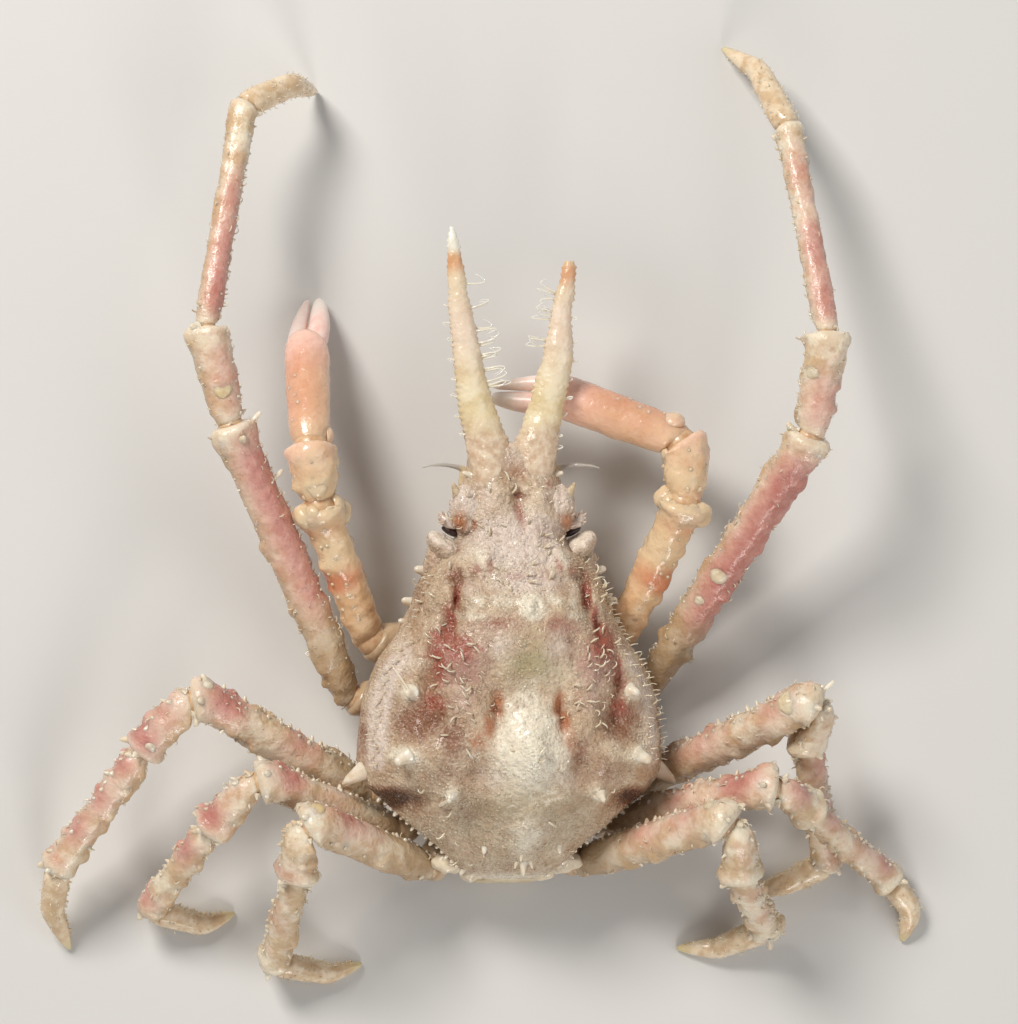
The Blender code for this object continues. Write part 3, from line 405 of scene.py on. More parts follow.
shell = Finish("carapace_shell", Subsurface_Weight=0.18, Subsurface_Scale=0.0007, Coat_Roughness=0.06,
               Specular_IOR_Level=0.6)
shell_grain = shell.noise(0.16, 2.0, 0.6)
shell.set(Base_Color=shell_colours(shell), Roughness=0.14 + shell.noise(0.5, 2.0) * 0.24,
          Coat_Weight=shell.noise(1.6, 2.0).between(0.4, 0.65) * 0.3)
shell.relief(shell_grain + shell.cells(0.3) * 0.8 + shell.noise(0.5) * 1.5, 0.09, 1.0)

rows = np.linspace(0.0, SHELL_LENGTH, SHELL_ROWS)[:, None]
shell_u, shell_w = [], []
half = along(HALF_WIDTH, rows)
for upper, count in ((True, SHELL_OVER), (False, SHELL_UNDER)):
    turn = (np.arange(count) / count)[None] * math.pi
    u = half * np.cos(turn) * (1 if upper else -1)
    shell_u.append(u)
    shell_w.append(shell_height(u, np.broadcast_to(rows, u.shape), upper))
u, w = np.concatenate(shell_u, axis=1), np.concatenate(shell_w, axis=1)
v = np.broadcast_to(rows, u.shape).copy()
# The front narrows to a rounded lip between the roots of the rostral spines.
lip = np.sqrt(np.clip(1 - (1 - np.clip(rows / FRONT_ROUNDING, 0, 1)) ** 2, 0.02, 1))
tail = np.sqrt(np.clip(1 - (1 - np.clip((SHELL_LENGTH - rows) / 0.6, 0, 1)) ** 2, 0.1, 1))
middle = (along(CREST, rows) + along(UNDERSIDE, rows)) / 2
w = middle + (w - middle) * lip * tail
u = u * (0.55 + 0.45 * lip) * (0.8 + 0.2 * tail)
around = np.broadcast_to(np.arange(u.shape[1]) / u.shape[1], u.shape)
shell_marks = markings(u, v)
top = np.clip((w - along(EDGE, v)) / 1.0, 0, 1)
shell_marks["cover"] = top * np.clip(0.45 + 0.7 * lumps(np.stack([u, v, w], axis=-1), 2.6, 4), 0.12, 1)
shell_marks["unwrap"] = np.stack([around, v / SHELL_LENGTH, 0 * v], axis=-1)
places = stand(np.stack([u, v, w], axis=-1))
centre = stand(np.stack([0 * v, v, np.broadcast_to(middle, v.shape)], axis=-1))
outward = unit(places - centre)
coarse = lumps(places, 1.1, 1) * 0.1 + lumps(places, 0.5, 2) * 0.06 + lumps(places, 0.24, 3) * 0.04
places = places + outward * (coarse * (0.35 + 0.65 * top))[..., None]
# Brown is marked into the hollows of the relief and of the fine lumps, and cream onto their tops: partly the
# shell's own colour, partly painted shade and painted highlight that make the relief read.
swell = relief_at(u, v) * top
shell_marks["hollow"] = np.clip(-1.6 * swell - 2.5 * coarse, 0, 1) * top
shell_marks["boss"] = np.clip(0.9 * swell + 2.0 * coarse - 0.1, 0, 1) * top
# Setae lie forwards and outwards over the shield.
shell_marks["lie"] = unit(np.stack([np.sign(u) * 0.8, -0.6 + 0 * u, 0 * u], axis=-1))
carapace = skin("carapace_shell", [(places, shell_marks)], shell)
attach(carapace, "root")
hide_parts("carapace")

# Spines and knobs of the carapace
# Outgrowths of the same shell: a white thorn at each side, pale knobs along the liver, a row of beads on
# the rear margin and a tuft of points over the gut. They are drawn out of the shield and stand in it.


def tapered(path, radii, sides=8, flat=1.0, up=(0.0, 0.0, 1.0)):
    """Rows of points round a path whose radius changes. flat squashes it along up."""
    path = np.array(path, float)
    ahead = unit(np.gradient(path, axis=0))
    up = np.array(up, float)
    rings = []
    angles = np.arange(sides) * 2 * math.pi / sides
    for point, way, radius in zip(path, ahead, radii):
        side = np.cross(way, up)
        if np.linalg.norm(side) < 0.05:
            side = np.cross(way, (1.0, 0.1, 0.0))
        side = unit(side)
        up = np.cross(side, way)
        rings.append(point + radius * (np.outer(np.cos(angles), side) + flat * np.outer(np.sin(angles), up)))
    return np.array(rings)


def bent(root, way, length, bend=(0, 0, 0), count=9):
    """Points of a path that leaves root along way and bends as it goes."""
    t = np.linspace(0, 1, count)[:, None]
    return np.array(root) + np.array(way) * length * t + np.array(bend) * length * t * t


def thorn(root, way, length, radius, bend=(0, 0, 0), sides=10, blunt=0.12):
    """A thorn: flared where it leaves the shell, fine at the tip."""
    path = bent(np.array(root) - np.array(way) * radius * 0.7, way, length + radius * 0.7, bend)
    t = np.linspace(0, 1, len(path))
    radii = radius * (np.maximum(1 - t, 0) ** 0.85 * (1 - blunt) + blunt) * np.where(t > 0.97, 0.55, 1)
    radii = radii * (1 + 0.35 * bell(t / 0.18))
    return tapered(path, radii, sides)


def shell_thorn(u, v, length, radius, lean=(0, 0, 0), blunt=0.12):
    here, out = shell_spot(u, v)
    return thorn(here, unit(out + np.array(lean)), length, radius, (0, 0, 0), 12, blunt)


# The knobs by their place u, v on the shield (paired), with length, radius and lean out, back and up.
KNOBS = (
    (7.2, 16.0, 0.45, 0.42, (0.2, 0.1, 0)), (7.6, 20.1, 0.75, 0.5, (0.5, 0.2, 0)),
    (4.85, 22.6, 0.45, 0.3, (0.2, 0.4, 0)), (2.4, 26.1, 0.4, 0.22, (0, 0.9, 0)),
    (2.85, 2.1, 0.45, 0.24, (0.9, -0.3, 0)),
)
SIDE_THORN = ((8.7, 20.6, 7.4), (10.9, 21.85, 6.6), 1.0)       # root, tip and root radius
LIVER_KNOBS = ((8.35, 0.85, 0.42), (10.35, 0.7, 0.4), (11.6, 0.4, 0.28))    # v, length, radius, on the edge
GUT_POINTS = ((0, 27.15, 0.85, 0.34), (0.45, 27.0, 0.5, 0.2), (-0.45, 27.0, 0.5, 0.2), (0.2, 26.6, 0.4, 0.2))
BEADS = 17
# White rods that lie on the shield: both ends as u, v and height over it, then the radius.
RODS_ON_SHELL = (
    ((5.0, 23.3, 0.0), (4.2, 22.55, 0.42), 0.13), ((-4.75, 22.6, 0.4), (-5.75, 23.15, 0.05), 0.13),
    ((6.95, 15.9, 0.3), (7.95, 14.2, 0.35), 0.09), ((-1.0, 19.9, 0.2), (-1.5, 19.3, 0.35), 0.08),
    ((3.0, 20.2, 0.1), (3.5, 19.5, 0.3), 0.08), ((-2.0, 24.3, 0.1), (-2.6, 24.7, 0.25), 0.08),
)
knob_parts = []
for u, v, length, radius, lean in KNOBS:
    for _, side in SIDES:
        spot = side * u + float(along(MIDLINE, v)) * (1 - (u / float(along(HALF_WIDTH, v))) ** 2)
        knob_parts.append(shell_thorn(spot, v, length, radius, (side * lean[0], lean[1], lean[2]),
                                      0.45))
for u, v, length, radius in GUT_POINTS:
    knob_parts.append(shell_thorn(u - 0.68, v, length, radius, (u, 1.1, 0)))
for _, side in SIDES:
    root, tip = (np.array(point) * (side, 1, 1) for point in SIDE_THORN[:2])
    way = tip - root
    knob_parts.append(thorn(stand(root), unit(stand(tip) - stand(root)), np.linalg.norm(way) * 0.97,
                            SIDE_THORN[2], (0, 0.07, 0.05), 16, 0.16))
    for v, length, radius in LIVER_KNOBS:
        half = float(along(HALF_WIDTH, v))
        root = stand((side * (half - 0.1), v, float(along(EDGE, v)) + 0.2))
        knob_parts.append(thorn(root, unit(stand((side, -0.25, 0.35)) - stand((0, 0, 0))), length, radius,
                                (0, 0, 0), 12, 0.45))
    for k, v in enumerate(np.linspace(22.9, 28.0, BEADS)):
        half = float(along(HALF_WIDTH, v))
        slope = float(along(HALF_WIDTH, v + 0.2) - along(HALF_WIDTH, v - 0.2)) / 0.4
        out = unit(np.array((side, -slope, 0.5)))
        root = stand((side * (half - 0.12), v, float(along(EDGE, v)) + 0.3))
        knob_parts.append(thorn(root, unit(stand(out) - stand((0, 0, 0))), 0.26 + 0.14 * (k % 3 == 0),
                                0.17 + 0.05 * (k % 2), (0, 0, 0), 8, 0.4))
for root, tip, radius in RODS_ON_SHELL:
    ends = [stand((u, v, float(shell_height(u, v)) + lift)) for u, v, lift in (root, tip)]
    t = np.linspace(0, 1, 14)
    rod = ends[0] + (ends[1] - ends[0]) * t[:, None] + np.array((0, 0, 0.15)) * np.sin(t * math.pi)[:, None]
    radii = radius * np.sqrt(np.clip(1 - (2 * t - 1) ** 4, 0.02, 1)) * (1.1 - 0.45 * t)
    knob_parts.append(tapered(rod, radii, 10))
ivory = Finish("ivory_points", Subsurface_Weight=0.25, Subsurface_Scale=0.0006, Coat_Weight=0.6,
               Coat_Roughness=0.08, Roughness=0.3)
ivory.set(Base_Color=ivory.mix(ivory.noise(0.5).between(0.3, 0.7), paint(240, 230, 212),
                               paint(222, 204, 176)))
ivory.relief(ivory.noise(0.12, 2.0), 0.03, 0.6)
knobs = skin("carapace_spines", [(rings, {}) for rings in knob_parts], ivory)
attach(knobs, "root")

# Rostral spines
# The two long hollow horns of the shield's front, saw-toothed along both edges and smooth on top. The
# animal's right one is worn shorter. Their roots run back into the shield.

# v, u and half width, from inside the shield to the tip.
HORNS = {
    "left": ((4.6, 1.2, 0.6), (3.0, 1.3, 1.1), (1.2, 1.5, 1.34), (-0.15, 1.68, 1.38),
             (-0.55, 1.8, 1.3), (-1.6, 2.15, 1.2), (-3.8, 2.66, 1.0),
             (-6, 3.05, 0.86), (-8, 3.4, 0.76), (-10.2, 3.69, 0.58), (-11.8, 3.85, 0.42), (-13, 3.97, 0.29),
             (-13.75, 4.04, 0.1)),
    "right": ((4.6, 1.1, 0.6), (3.0, 1.25, 1.1), (1.2, 1.42, 1.34), (-0.15, 1.6, 1.36),
              (-0.55, 1.7, 1.3), (-1.6, 2.0, 1.23), (-3.8, 2.5, 1.08),
              (-5.9, 2.92, 0.92), (-8, 3.05, 0.68), (-10.2, 3.43, 0.5), (-11.3, 3.54, 0.4),
              (-11.6, 3.56, 0.24)),
}
HORN_HEIGHT = ((-13.8, 9.05), (-6, 8.7), (-0.15, 8.15), (1.2, 8.3), (3.0, 8.4), (4.6, 8.4))
HORN_FLATNESS = 0.78
HORN_ROWS, HORN_SIDES = 240, 48
HORN_TOOTH, HORN_TOOTH_STEP = 0.15, 0.42
# Orange of the tips: v of its middle, half length and strength.
HORN_ORANGE = {"left": (-11.5, 0.8, 0.7), "right": (-10.8, 0.8, 0.8)}
horn = Finish("rostral_spine", Subsurface_Weight=0.22, Subsurface_Scale=0.0008, Roughness=0.24,
              Coat_Weight=0.2, Coat_Roughness=0.08)
horn_colour = horn.mix(horn.noise(1.6).between(0.35, 0.65), paint(222, 200, 154), paint(238, 224, 190))
horn_colour = horn.mix(horn.mark("pink") * 0.6, horn_colour, paint(236, 214, 202))
horn_colour = horn.mix(horn.mark("edge") * horn.noise(0.4).between(0.3, 0.7) * 0.55, horn_colour,
                       paint(196, 168, 118))
horn_colour = horn.mix(horn.mark("orange"), horn_colour, paint(212, 146, 100))
horn_colour = horn.mix(horn.mark("white") * 0.8, horn_colour, paint(240, 238, 226))
horn_colour = horn.mix((horn.mark("beige") + horn.noise(0.7) * 0.6 - 0.3).between(0.0, 0.9), horn_colour,
                       horn.mix(horn.noise(0.5).between(0.3, 0.7), paint(202, 172, 142),
                                paint(230, 210, 184)))
horn.set(Base_Color=horn_colour)
horn.relief(horn.noise(0.22, 2.0) + horn.cells(0.35) * 0.5 + horn.noise(0.5), 0.06, 0.9)
for side_name, side in SIDES:
    table = np.array(HORNS[side_name])
    v = np.linspace(table[0, 0], table[-1, 0], HORN_ROWS)
    u = along(table[:, (0, 1)], v)
    half = along(table[:, (0, 2)], v)
    angles = np.arange(HORN_SIDES) * 2 * math.pi / HORN_SIDES
    grid_v = np.broadcast_to(v[:, None], (HORN_ROWS, HORN_SIDES))
    edges = np.abs(np.cos(angles)) ** 10
    saw = np.abs(((v / HORN_TOOTH_STEP) % 1) - 0.35)
    uneven = 0.6 + 0.6 * lumps(np.stack([v, v, v], -1), 0.8, side)
    teeth = HORN_TOOTH * np.clip(1 - saw / 0.4, 0, 1) * uneven
    teeth = teeth * np.clip((1.5 - v) / 1.5, 0, 1)
    reach = half[:, None] + teeth[:, None] * edges[None]
    points = np.stack([side * u[:, None] + reach * np.cos(angles), grid_v,
                       along(HORN_HEIGHT, grid_v) + HORN_FLATNESS * reach * np.sin(angles)], axis=-1)
    points = stand(points)
    core = points.mean(axis=1, keepdims=True)
    rough = lumps(points, 1.1, 4) * 0.07 + lumps(points, 0.5, 5) * 0.04 + lumps(points, 0.25, 6) * 0.02
    points = points + unit(points - core) * rough[..., None]
    middle, length, strength = HORN_ORANGE[side_name]
    marks = {"orange": strength * bell((grid_v - middle) / length), "pink": bell((grid_v + 7.5) / 3.0),
             "edge": edges * np.ones_like(grid_v), "beige": np.clip((grid_v + 1.9) / 2.2, 0, 1),
             "white": np.clip((-11.9 - grid_v) / 0.5, 0, 1),
             "cover": 0.4 + 0 * grid_v, "lie": np.broadcast_to((0.0, -1.0, 0.0), points.shape),
             "unwrap": np.stack([np.broadcast_to(angles / 6.3, grid_v.shape), -grid_v / 15, 0 * grid_v], -1)}
    spine = skin("rostral_spine_skin_" + side_name, [(points, marks)], horn)
    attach(spine, "root")
    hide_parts("rostral_spine_" + side_name)

# Hooked hairs of the rostrum
# Long clear bristles along the inner edge of each horn, bent over at the end like fish hooks, and short
# curls along the outer edge. They are rooted in the saw teeth.

# Where along a horn the hairs stand, in bunches, and their length: on the inner edge, then on the outer.
HORN_HAIRS = {"left": ((-10.1, -8.6, -8.5, -7.3, -7.1, -6.3, -6.2, -6.1, -5.5, -5.4, -5.3, -4.6, -4.5, -3.8,
                        -3.6, -3.5), 1.3,
                       (-8.6, -7.6, -6.6, -6.5, -5.2, -4.0, -2.9, -2.8, -1.6, -0.5), 0.5),
              "right": ((-9.5, -9.4, -9.2, -8.4, -8.3, -8.1, -7.9, -6.6, -6.5, -6.4, -6.2), 1.2,
                        (-8.0, -6.4, -5.2, -3.9, -2.8, -2.7, -1.6, -0.4, -0.3, 0.5), 0.45)}
HAIR_RADIUS = 0.075
bristle = Finish("rostral_hair", Subsurface_Weight=0.2, Subsurface_Scale=0.0003, Roughness=0.2,
                 Coat_Weight=0.6, Coat_Roughness=0.05)
bristle.set(Base_Color=bristle.mix(bristle.mark("tip"), paint(232, 222, 200), paint(248, 244, 234)))
random = np.random.default_rng(8)
hairs = []
for side_name, side in SIDES:
    table = np.array(HORNS[side_name])
    inner, inner_length, outer, outer_length = HORN_HAIRS[side_name]
    for edge, stand_at, length in ((-side, inner, inner_length), (side, outer, outer_length)):
        for v in stand_at + random.uniform(-0.06, 0.06, len(stand_at)):
            half = float(along(table[:, (0, 2)], v))
            root = np.array((side * float(along(table[:, (0, 1)], v)) + edge * half * 0.92, v,
                             float(along(HORN_HEIGHT, v)) + random.uniform(-0.1, 0.25) * half))
            t = np.linspace(0, 1, 12)[:, None]
            size = length * random.uniform(0.7, 1.15)
            turn = random.choice((-1, 1), p=(0.7, 0.3)) * random.uniform(0.2, 0.7)
            path = root + size * (np.array((edge, random.uniform(-0.4, 0.1), 0.1)) * np.sin(2.6 * t)
                                  + np.array((0, turn, 0)) * t * t
                                  + np.array((0, 0, random.uniform(-0.1, 0.35))) * t)
            radii = HAIR_RADIUS * (1 - 0.75 * t[:, 0])
            unwrap = np.stack(np.broadcast_arrays(0.5 + side * 0.2 + np.arange(5)[None] * 6e-4,
                                                  -v / 20 + t * 0.003, 0.0), axis=-1)
            hairs.append((tapered(stand(path), radii, 5), {"tip": t, "unwrap": unwrap}))
rostral_hairs = skin("rostral_hairs", hairs, bristle)
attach(rostral_hairs, "root")

# Eaves, cups and eyes
# Over each eye the shield swells to an eave with a sharp tooth in front, and behind it stands a rounded
# cup. The small dark eye sits in the slit between them, its stalk pale and bristly.


def blob(centre, half, rows=26, sides=32, seed=0, rough=0.04, dent=None, slant=0.0):
    """A lumpy closed swelling in the body's frame. dent is a way and a depth that hollow one side."""
    tilt = np.linspace(0.06, math.pi - 0.06, rows)[:, None]
    turn = (np.arange(sides) * 2 * math.pi / sides)[None]
    ball = np.stack([np.sin(tilt) * np.cos(turn), np.sin(tilt) * np.sin(turn), np.cos(tilt) + 0 * turn],
                    axis=-1)
    size = np.ones(ball.shape[:2])
    if dent is not None:
        size = size - dent[1] * bell((1 - ball @ unit(np.array(dent[0], float))) / 0.45)
    points = np.array(centre) + ball * np.array(half) * size[..., None]
    points[..., 1] += slant * (points[..., 0] - centre[0])
    return stand(points + ball * (lumps(points, 0.35, seed) * rough)[..., None])


EAVE = ((2.95, 4.2, 8.3), (1.1, 1.45, 0.9))
EAVE_KNOB = ((3.1, 4.9, 8.35), (0.85, 0.95, 0.75))
EAVE_TOOTH = ((3.5, 3.6, 8.4), (3.95, 2.75, 8.75), 0.5)
EAVE_ORANGE = (3.45, 5.15, 8.7)               # middle of the orange patch behind each eave
CUP = ((4.15, 6.8, 7.75), (1.35, 1.05, 1.1))
CUP_DENT = ((-0.25, -0.9, 0.45), 0.42)
CUP_SLANT = -0.42
STALK = ((4.15, 5.15, 7.75), (0.62, 0.45, 0.5))
EYEBALL = ((3.95, 5.78, 7.5), (0.58, 0.27, 0.4))
CHEEK = ((4.65, 8.0, 7.1), (1.0, 1.6, 1.05))
bone = Finish("orbit", Subsurface_Weight=0.25, Subsurface_Scale=0.0006, Roughness=0.24, Coat_Weight=0.25,
              Coat_Roughness=0.06)
bone_colour = bone.mix(bone.noise(0.7).between(0.35, 0.65), paint(214, 184, 160), paint(234, 212, 194))
bone_colour = bone.mix(bone.noise(0.28).between(0.45, 0.75) * 0.35, bone_colour, paint(170, 128, 100))
bone_colour = bone.mix(bone.mark("blue"), bone_colour, paint(222, 216, 216))
bone.set(Base_Color=bone_colour)
bone.relief(bone.noise(0.2, 2.0) + bone.cells(0.3) * 0.5 + bone.noise(0.5), 0.07, 0.9)
eaves = []
for side_name, side in SIDES:
    turned = np.array((side, 1, 1))
    root, tip = (stand(turned * point) for point in EAVE_TOOTH[:2])
    tooth = thorn(root, unit(tip - root), np.linalg.norm(tip - root), EAVE_TOOTH[2], (0, -0.1, 0.2), 12)
    parts = [(tooth, {"boss": 0.8})]
    for centre, half in (EAVE, EAVE_KNOB):
        lumpy = blob(turned * centre, half, 40, 44, len(parts) + 7, 0.09)
        far = np.linspace(-0.5, 1, 40)[:, None]
        spot = np.linalg.norm((lumpy - stand(turned * EAVE_ORANGE)) / (0.55, 0.7, 1.3), axis=-1)
        parts.append((lumpy, {"cover": np.clip(far * 2 + 1, 0, 1), "bristle": 0.25,
                              "lie": np.broadcast_to((side * 0.8, -0.6, 0.0), lumpy.shape),
                              "unwrap": np.broadcast_to((0.1 + 0.02 * side, 0.1, 0.0), lumpy.shape),
                              "orange": 0.85 * bell(spot), "pale": 0.7 * (1 - bell(spot))}))
    cheek = blob(turned * CHEEK[0], CHEEK[1], 40, 44, 15, 0.12)
    parts.append((cheek, {"cover": 0.5, "bristle": 0.2, "brown": 0.25, "pale": 0.3,
                          "lie": np.broadcast_to((side * 0.8, -0.6, 0.0), cheek.shape),
                          "unwrap": np.broadcast_to((0.2 + 0.02 * side, 0.2, 0.0), cheek.shape)}))
    eave = skin("eave_" + side_name, parts, shell)
    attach(eave, "root")
    eaves.append(eave)
    centre, half = CUP
    shape = blob(turned * centre, half, 60, 72, 9, 0.07, (turned * CUP_DENT[0], CUP_DENT[1]),
                 CUP_SLANT * side)
    facing = unit(shape - stand(turned * centre)) @ unit(np.array((-0.2 * side, -0.9, 0.3)))
    behind = np.clip((shape[..., 1] - FORK[1] - centre[1]) / 0.9, 0, 1)
    ahead = np.clip(facing * 1.6 - 0.2, 0, 1)
    marks = {"pale": 0.3 + 1.0 * ahead, "cream": 0.5 * ahead, "brown": 0.3 * behind,
             "cover": 0.1 + 0.5 * behind, "bristle": 0.25 * behind,
             "lie": np.broadcast_to((side * 0.8, 0.2, 0.0), shape.shape),
             "unwrap": np.broadcast_to((0.3 + 0.02 * side, 0.3, 0.0), shape.shape)}
    cup = skin("orbit_cup_" + side_name, [(shape, marks)], shell)
    eaves.append(cup)
    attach(cup, "root")

    stalk = blob(turned * STALK[0], STALK[1], seed=11, rough=0.1, slant=CUP_SLANT * side)
    bristles = []
    for turn in range(7):
        way = unit(np.array((side * (0.55 + 0.5 * math.cos(turn * 2.4)), -0.5 + 0.7 * math.sin(turn * 2.4),
                             0.45)))
        start = stand(turned * STALK[0] + way * np.array(STALK[1]) * 0.8)
        bristles.append((thorn(start, way, 0.28 + 0.1 * (turn % 3), 0.12, (0, -0.1, 0), 7, 0.2), {}))
    stalk_piece = skin("eyestalk_" + side_name, [(stalk, {"blue": 0.3}), *bristles], bone)
    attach(stalk_piece, "root")

dark_eye = Finish("eye", Roughness=0.3, Coat_Weight=0.2, Coat_Roughness=0.1)
dark_eye.set(Base_Color=dark_eye.mix(dark_eye.cells(0.09).between(0.1, 0.5), paint(84, 44, 42),
                                     paint(36, 18, 20)))
dark_eye.relief(dark_eye.cells(0.06), 0.02, 0.5)
for side_name, side in SIDES:
    eye = skin("eyeball_" + side_name,
               [(blob(np.array((side, 1, 1)) * EYEBALL[0], EYEBALL[1], 24, 32, 3, 0.0, None,
                      CUP_SLANT * side), {})],
               dark_eye)
    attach(eye, "root")
    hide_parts("eye_" + side_name)

# Antennae
# Each stands beside the root of the rostrum: two stout pale articles and a short, thin, grey whip that
# turns outwards. They are jointed tubes of clear shell.

ANTENNA = ((3.0, 4.3, 5.9, 0.4), (2.95, 3.3, 6.2, 0.48), (2.9, 2.75, 6.45, 0.4), (2.9, 2.6, 6.5, 0.44),
           (2.95, 2.1, 6.7, 0.36), (3.1, 1.75, 6.85, 0.22), (3.5, 1.6, 6.95, 0.15), (4.4, 1.48, 7.1, 0.11),
           (5.1, 1.52, 7.25, 0.08), (5.75, 1.66, 7.36, 0.035))
ANTENNA_ROWS = 90
feeler = Finish("antenna", Subsurface_Weight=0.3, Subsurface_Scale=0.0006, Roughness=0.3, Coat_Weight=0.5,
                Coat_Roughness=0.1)
feeler.set(Base_Color=feeler.mix(feeler.mark("whip"), paint(216, 196, 160), paint(178, 172, 164)))
feeler.relief(feeler.noise(0.15), 0.03, 0.6)
for side_name, side in SIDES:
    table = np.array(ANTENNA)
    t = np.linspace(0, len(table) - 1, ANTENNA_ROWS)
    index = np.arange(len(table))
    path = np.stack([along(np.stack([index, table[:, k]], -1), t) for k in range(3)], axis=-1)
    radii = along(np.stack([index, table[:, 3]], -1), t)
    whip = np.clip((t - 5) / 1.0, 0, 1)
    radii = radii * (1 + 0.12 * whip * (np.sin(t * 22) > 0.2))
    rings = tapered(stand(path * (side, 1, 1)), radii, 16)
    rings = rings + unit(rings - rings.mean(axis=1, keepdims=True)) * (lumps(rings, 0.3, 4) * 0.03)[..., None]
    antenna = skin("antenna_skin_" + side_name, [(rings, {"whip": whip[:, None]})], feeler)
    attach(antenna, "root")
    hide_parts("antenna_" + side_name)

# Mouthparts
# The outer pair of jaw legs closes the mouth from below like two doors. Each is a broad plate in two
# articles with a small palp folded inwards at its front, and a slim outer branch beside it.

DOOR = ((5.9, 0.5, 1.5, 3.6), (6.6, 0.2, 2.3, 3.1), (8.2, 0.2, 2.6, 2.5), (9.9, 0.2, 2.3, 2.05),
        (10.85, 0.25, 1.7, 1.9))
DOOR_SEAM, DOOR_THICKNESS = 7.7, 0.95
DOOR_ROWS, DOOR_SIDES = 70, 36
BRANCH = ((2.75, 10.3, 2.9), (2.85, 8.6, 3.1), (2.8, 6.9, 3.6), (2.4, 6.1, 4.0))
PALP = ((1.9, 6.3, 3.3), (1.6, 5.9, 3.25), (1.1, 5.9, 3.1), (0.75, 6.3, 2.9), (0.65, 7.0, 2.75))


def slab(half, low, high, middle, count, square=3.2):
    """Points across and up of a rounded flat section."""
    turn = np.arange(count) * 2 * math.pi / count
    c, s = np.cos(turn), np.sin(turn)
    u = middle + half * np.sign(c) * np.abs(c) ** (2 / square)
    w = (low + high) / 2 + (high - low) / 2 * np.sign(s) * np.abs(s) ** (2 / square)
    return u, w


mouth = Finish("mouthparts", Subsurface_Weight=0.2, Subsurface_Scale=0.0006, Roughness=0.34, Coat_Weight=0.4,
               Coat_Roughness=0.12)
mouth_colour = mouth.mix(mouth.noise(1.0).between(0.35, 0.65), paint(214, 188, 150), paint(228, 206, 172))
mouth.set(Base_Color=mouth.mix(mouth.noise(0.3).between(0.5, 0.8) * 0.5, mouth_colour, paint(170, 116, 86)))
mouth.relief(mouth.noise(0.18, 2.0) + mouth.cells(0.3) * 0.5, 0.05, 0.7)
for side_name, side in SIDES:
    table = np.array(DOOR)
    rings = []
    for v in np.linspace(table[0, 0], table[-1, 0], DOOR_ROWS):
        inner, outer, low = (float(along(table[:, (0, k)], v)) for k in (1, 2, 3))
        close = bell((v - DOOR_SEAM) / 0.14)
        end = min(1.0, math.sqrt(max(v - table[0, 0], 0.02) / 0.3),
                  math.sqrt(max(table[-1, 0] - v, 0.02) / 0.3))
        half = (outer - inner) / 2 * (1 - 0.04 * close) * (0.6 + 0.4 * end)
        u, w = slab(half, low + 0.18 * close, low + DOOR_THICKNESS, (inner + outer) / 2, DOOR_SIDES, 2.8)
        rings.append(np.stack([side * u, np.full(DOOR_SIDES, v), w], axis=-1))
    door = stand(np.array(rings))
    door = door + unit(door - door.mean(axis=1, keepdims=True)) * (lumps(door, 0.5, 8) * 0.03)[..., None]
    parts = [(door, {})]
    for path, radius in ((BRANCH, 0.28), (PALP, 0.24)):
        steps = np.linspace(0, len(path) - 1, 30)
        index = np.arange(len(path))
        line = np.stack([along(np.stack([index, np.array(path)[:, k]], -1), steps) for k in range(3)],
                        axis=-1)
        radii = radius * np.sqrt(np.clip(1.05 - (steps / steps[-1]) ** 4, 0.05, 1))
        parts.append((tapered(stand(line * (side, 1, 1)), radii, 14), {}))
    jaw = skin("jaw_leg_" + side_name, parts, mouth)
    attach(jaw, "root")
    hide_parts("maxilliped_" + side_name)

# Thorax and hips
# The fused plates between the legs, with a groove from each pair of legs to the trough that the abdomen
# lies in, and the ten hips that the legs swing on. Pale hard shell with small pits.

THORAX = ((11.2, 3.6, 1.5, 3.6), (12.4, 5.0, 0.6, 3.9), (14.5, 5.6, -0.1, 3.9), (20, 5.7, -0.2, 3.9),
          (23.5, 4.9, -0.2, 3.9), (25.0, 4.0, 0.8, 3.9), (26.3, 3.0, 1.3, 3.8))
TROUGH_HALF, TROUGH_HEIGHT, TROUGH_FRONT = 2.75, 1.2, 14.2
STERNAL_GROOVES = (14.3, 18.0, 21.4, 23.8)
THORAX_ROWS, THORAX_SIDES = 120, 120


def softened(outline, count, passes):
    """A closed outline resampled evenly, its corners rounded off."""
    ends = np.vstack([outline, outline[:1]])
    lengths = np.concatenate([[0], np.cumsum(np.linalg.norm(np.diff(ends, axis=0), axis=1))])
    places = np.linspace(0, lengths[-1], count, endpoint=False)
    line = np.stack([np.interp(places, lengths, ends[:, k]) for k in range(outline.shape[1])], axis=-1)
    for _ in range(passes):
        line = (np.roll(line, 1, axis=0) + 2 * line + np.roll(line, -1, axis=0)) / 4
    return line


def thorax_section(v):
    half, low, high = (float(along([(row[0], row[k]) for row in THORAX], v)) for k in (1, 2, 3))
    deep = low + (TROUGH_HEIGHT - low) * min(max((v - TROUGH_FRONT) / 0.5, 0), 1)
    trough = min(TROUGH_HALF, half * 0.62)
    right = ((0, deep), (-trough * 0.55, deep), (-trough, deep), (-trough - 0.05, low), (-half * 0.8, low),
             (-half, low + (high - low) * 0.3), (-half, low + (high - low) * 0.75), (-half * 0.85, high),
             (0, high))
    outline = np.array(list(right) + [(-u, w) for u, w in right[-2:0:-1]])
    line = softened(outline, THORAX_SIDES, 5)
    groove = sum(bell((v - spot) / 0.2) for spot in STERNAL_GROOVES)
    under = np.clip((np.abs(line[:, 0]) - trough) / 0.4, 0, 1) * (line[:, 1] < low + 0.8)
    line[:, 1] += 0.22 * groove * under
    return np.stack([line[:, 0], np.full(THORAX_SIDES, v), line[:, 1]], axis=-1)


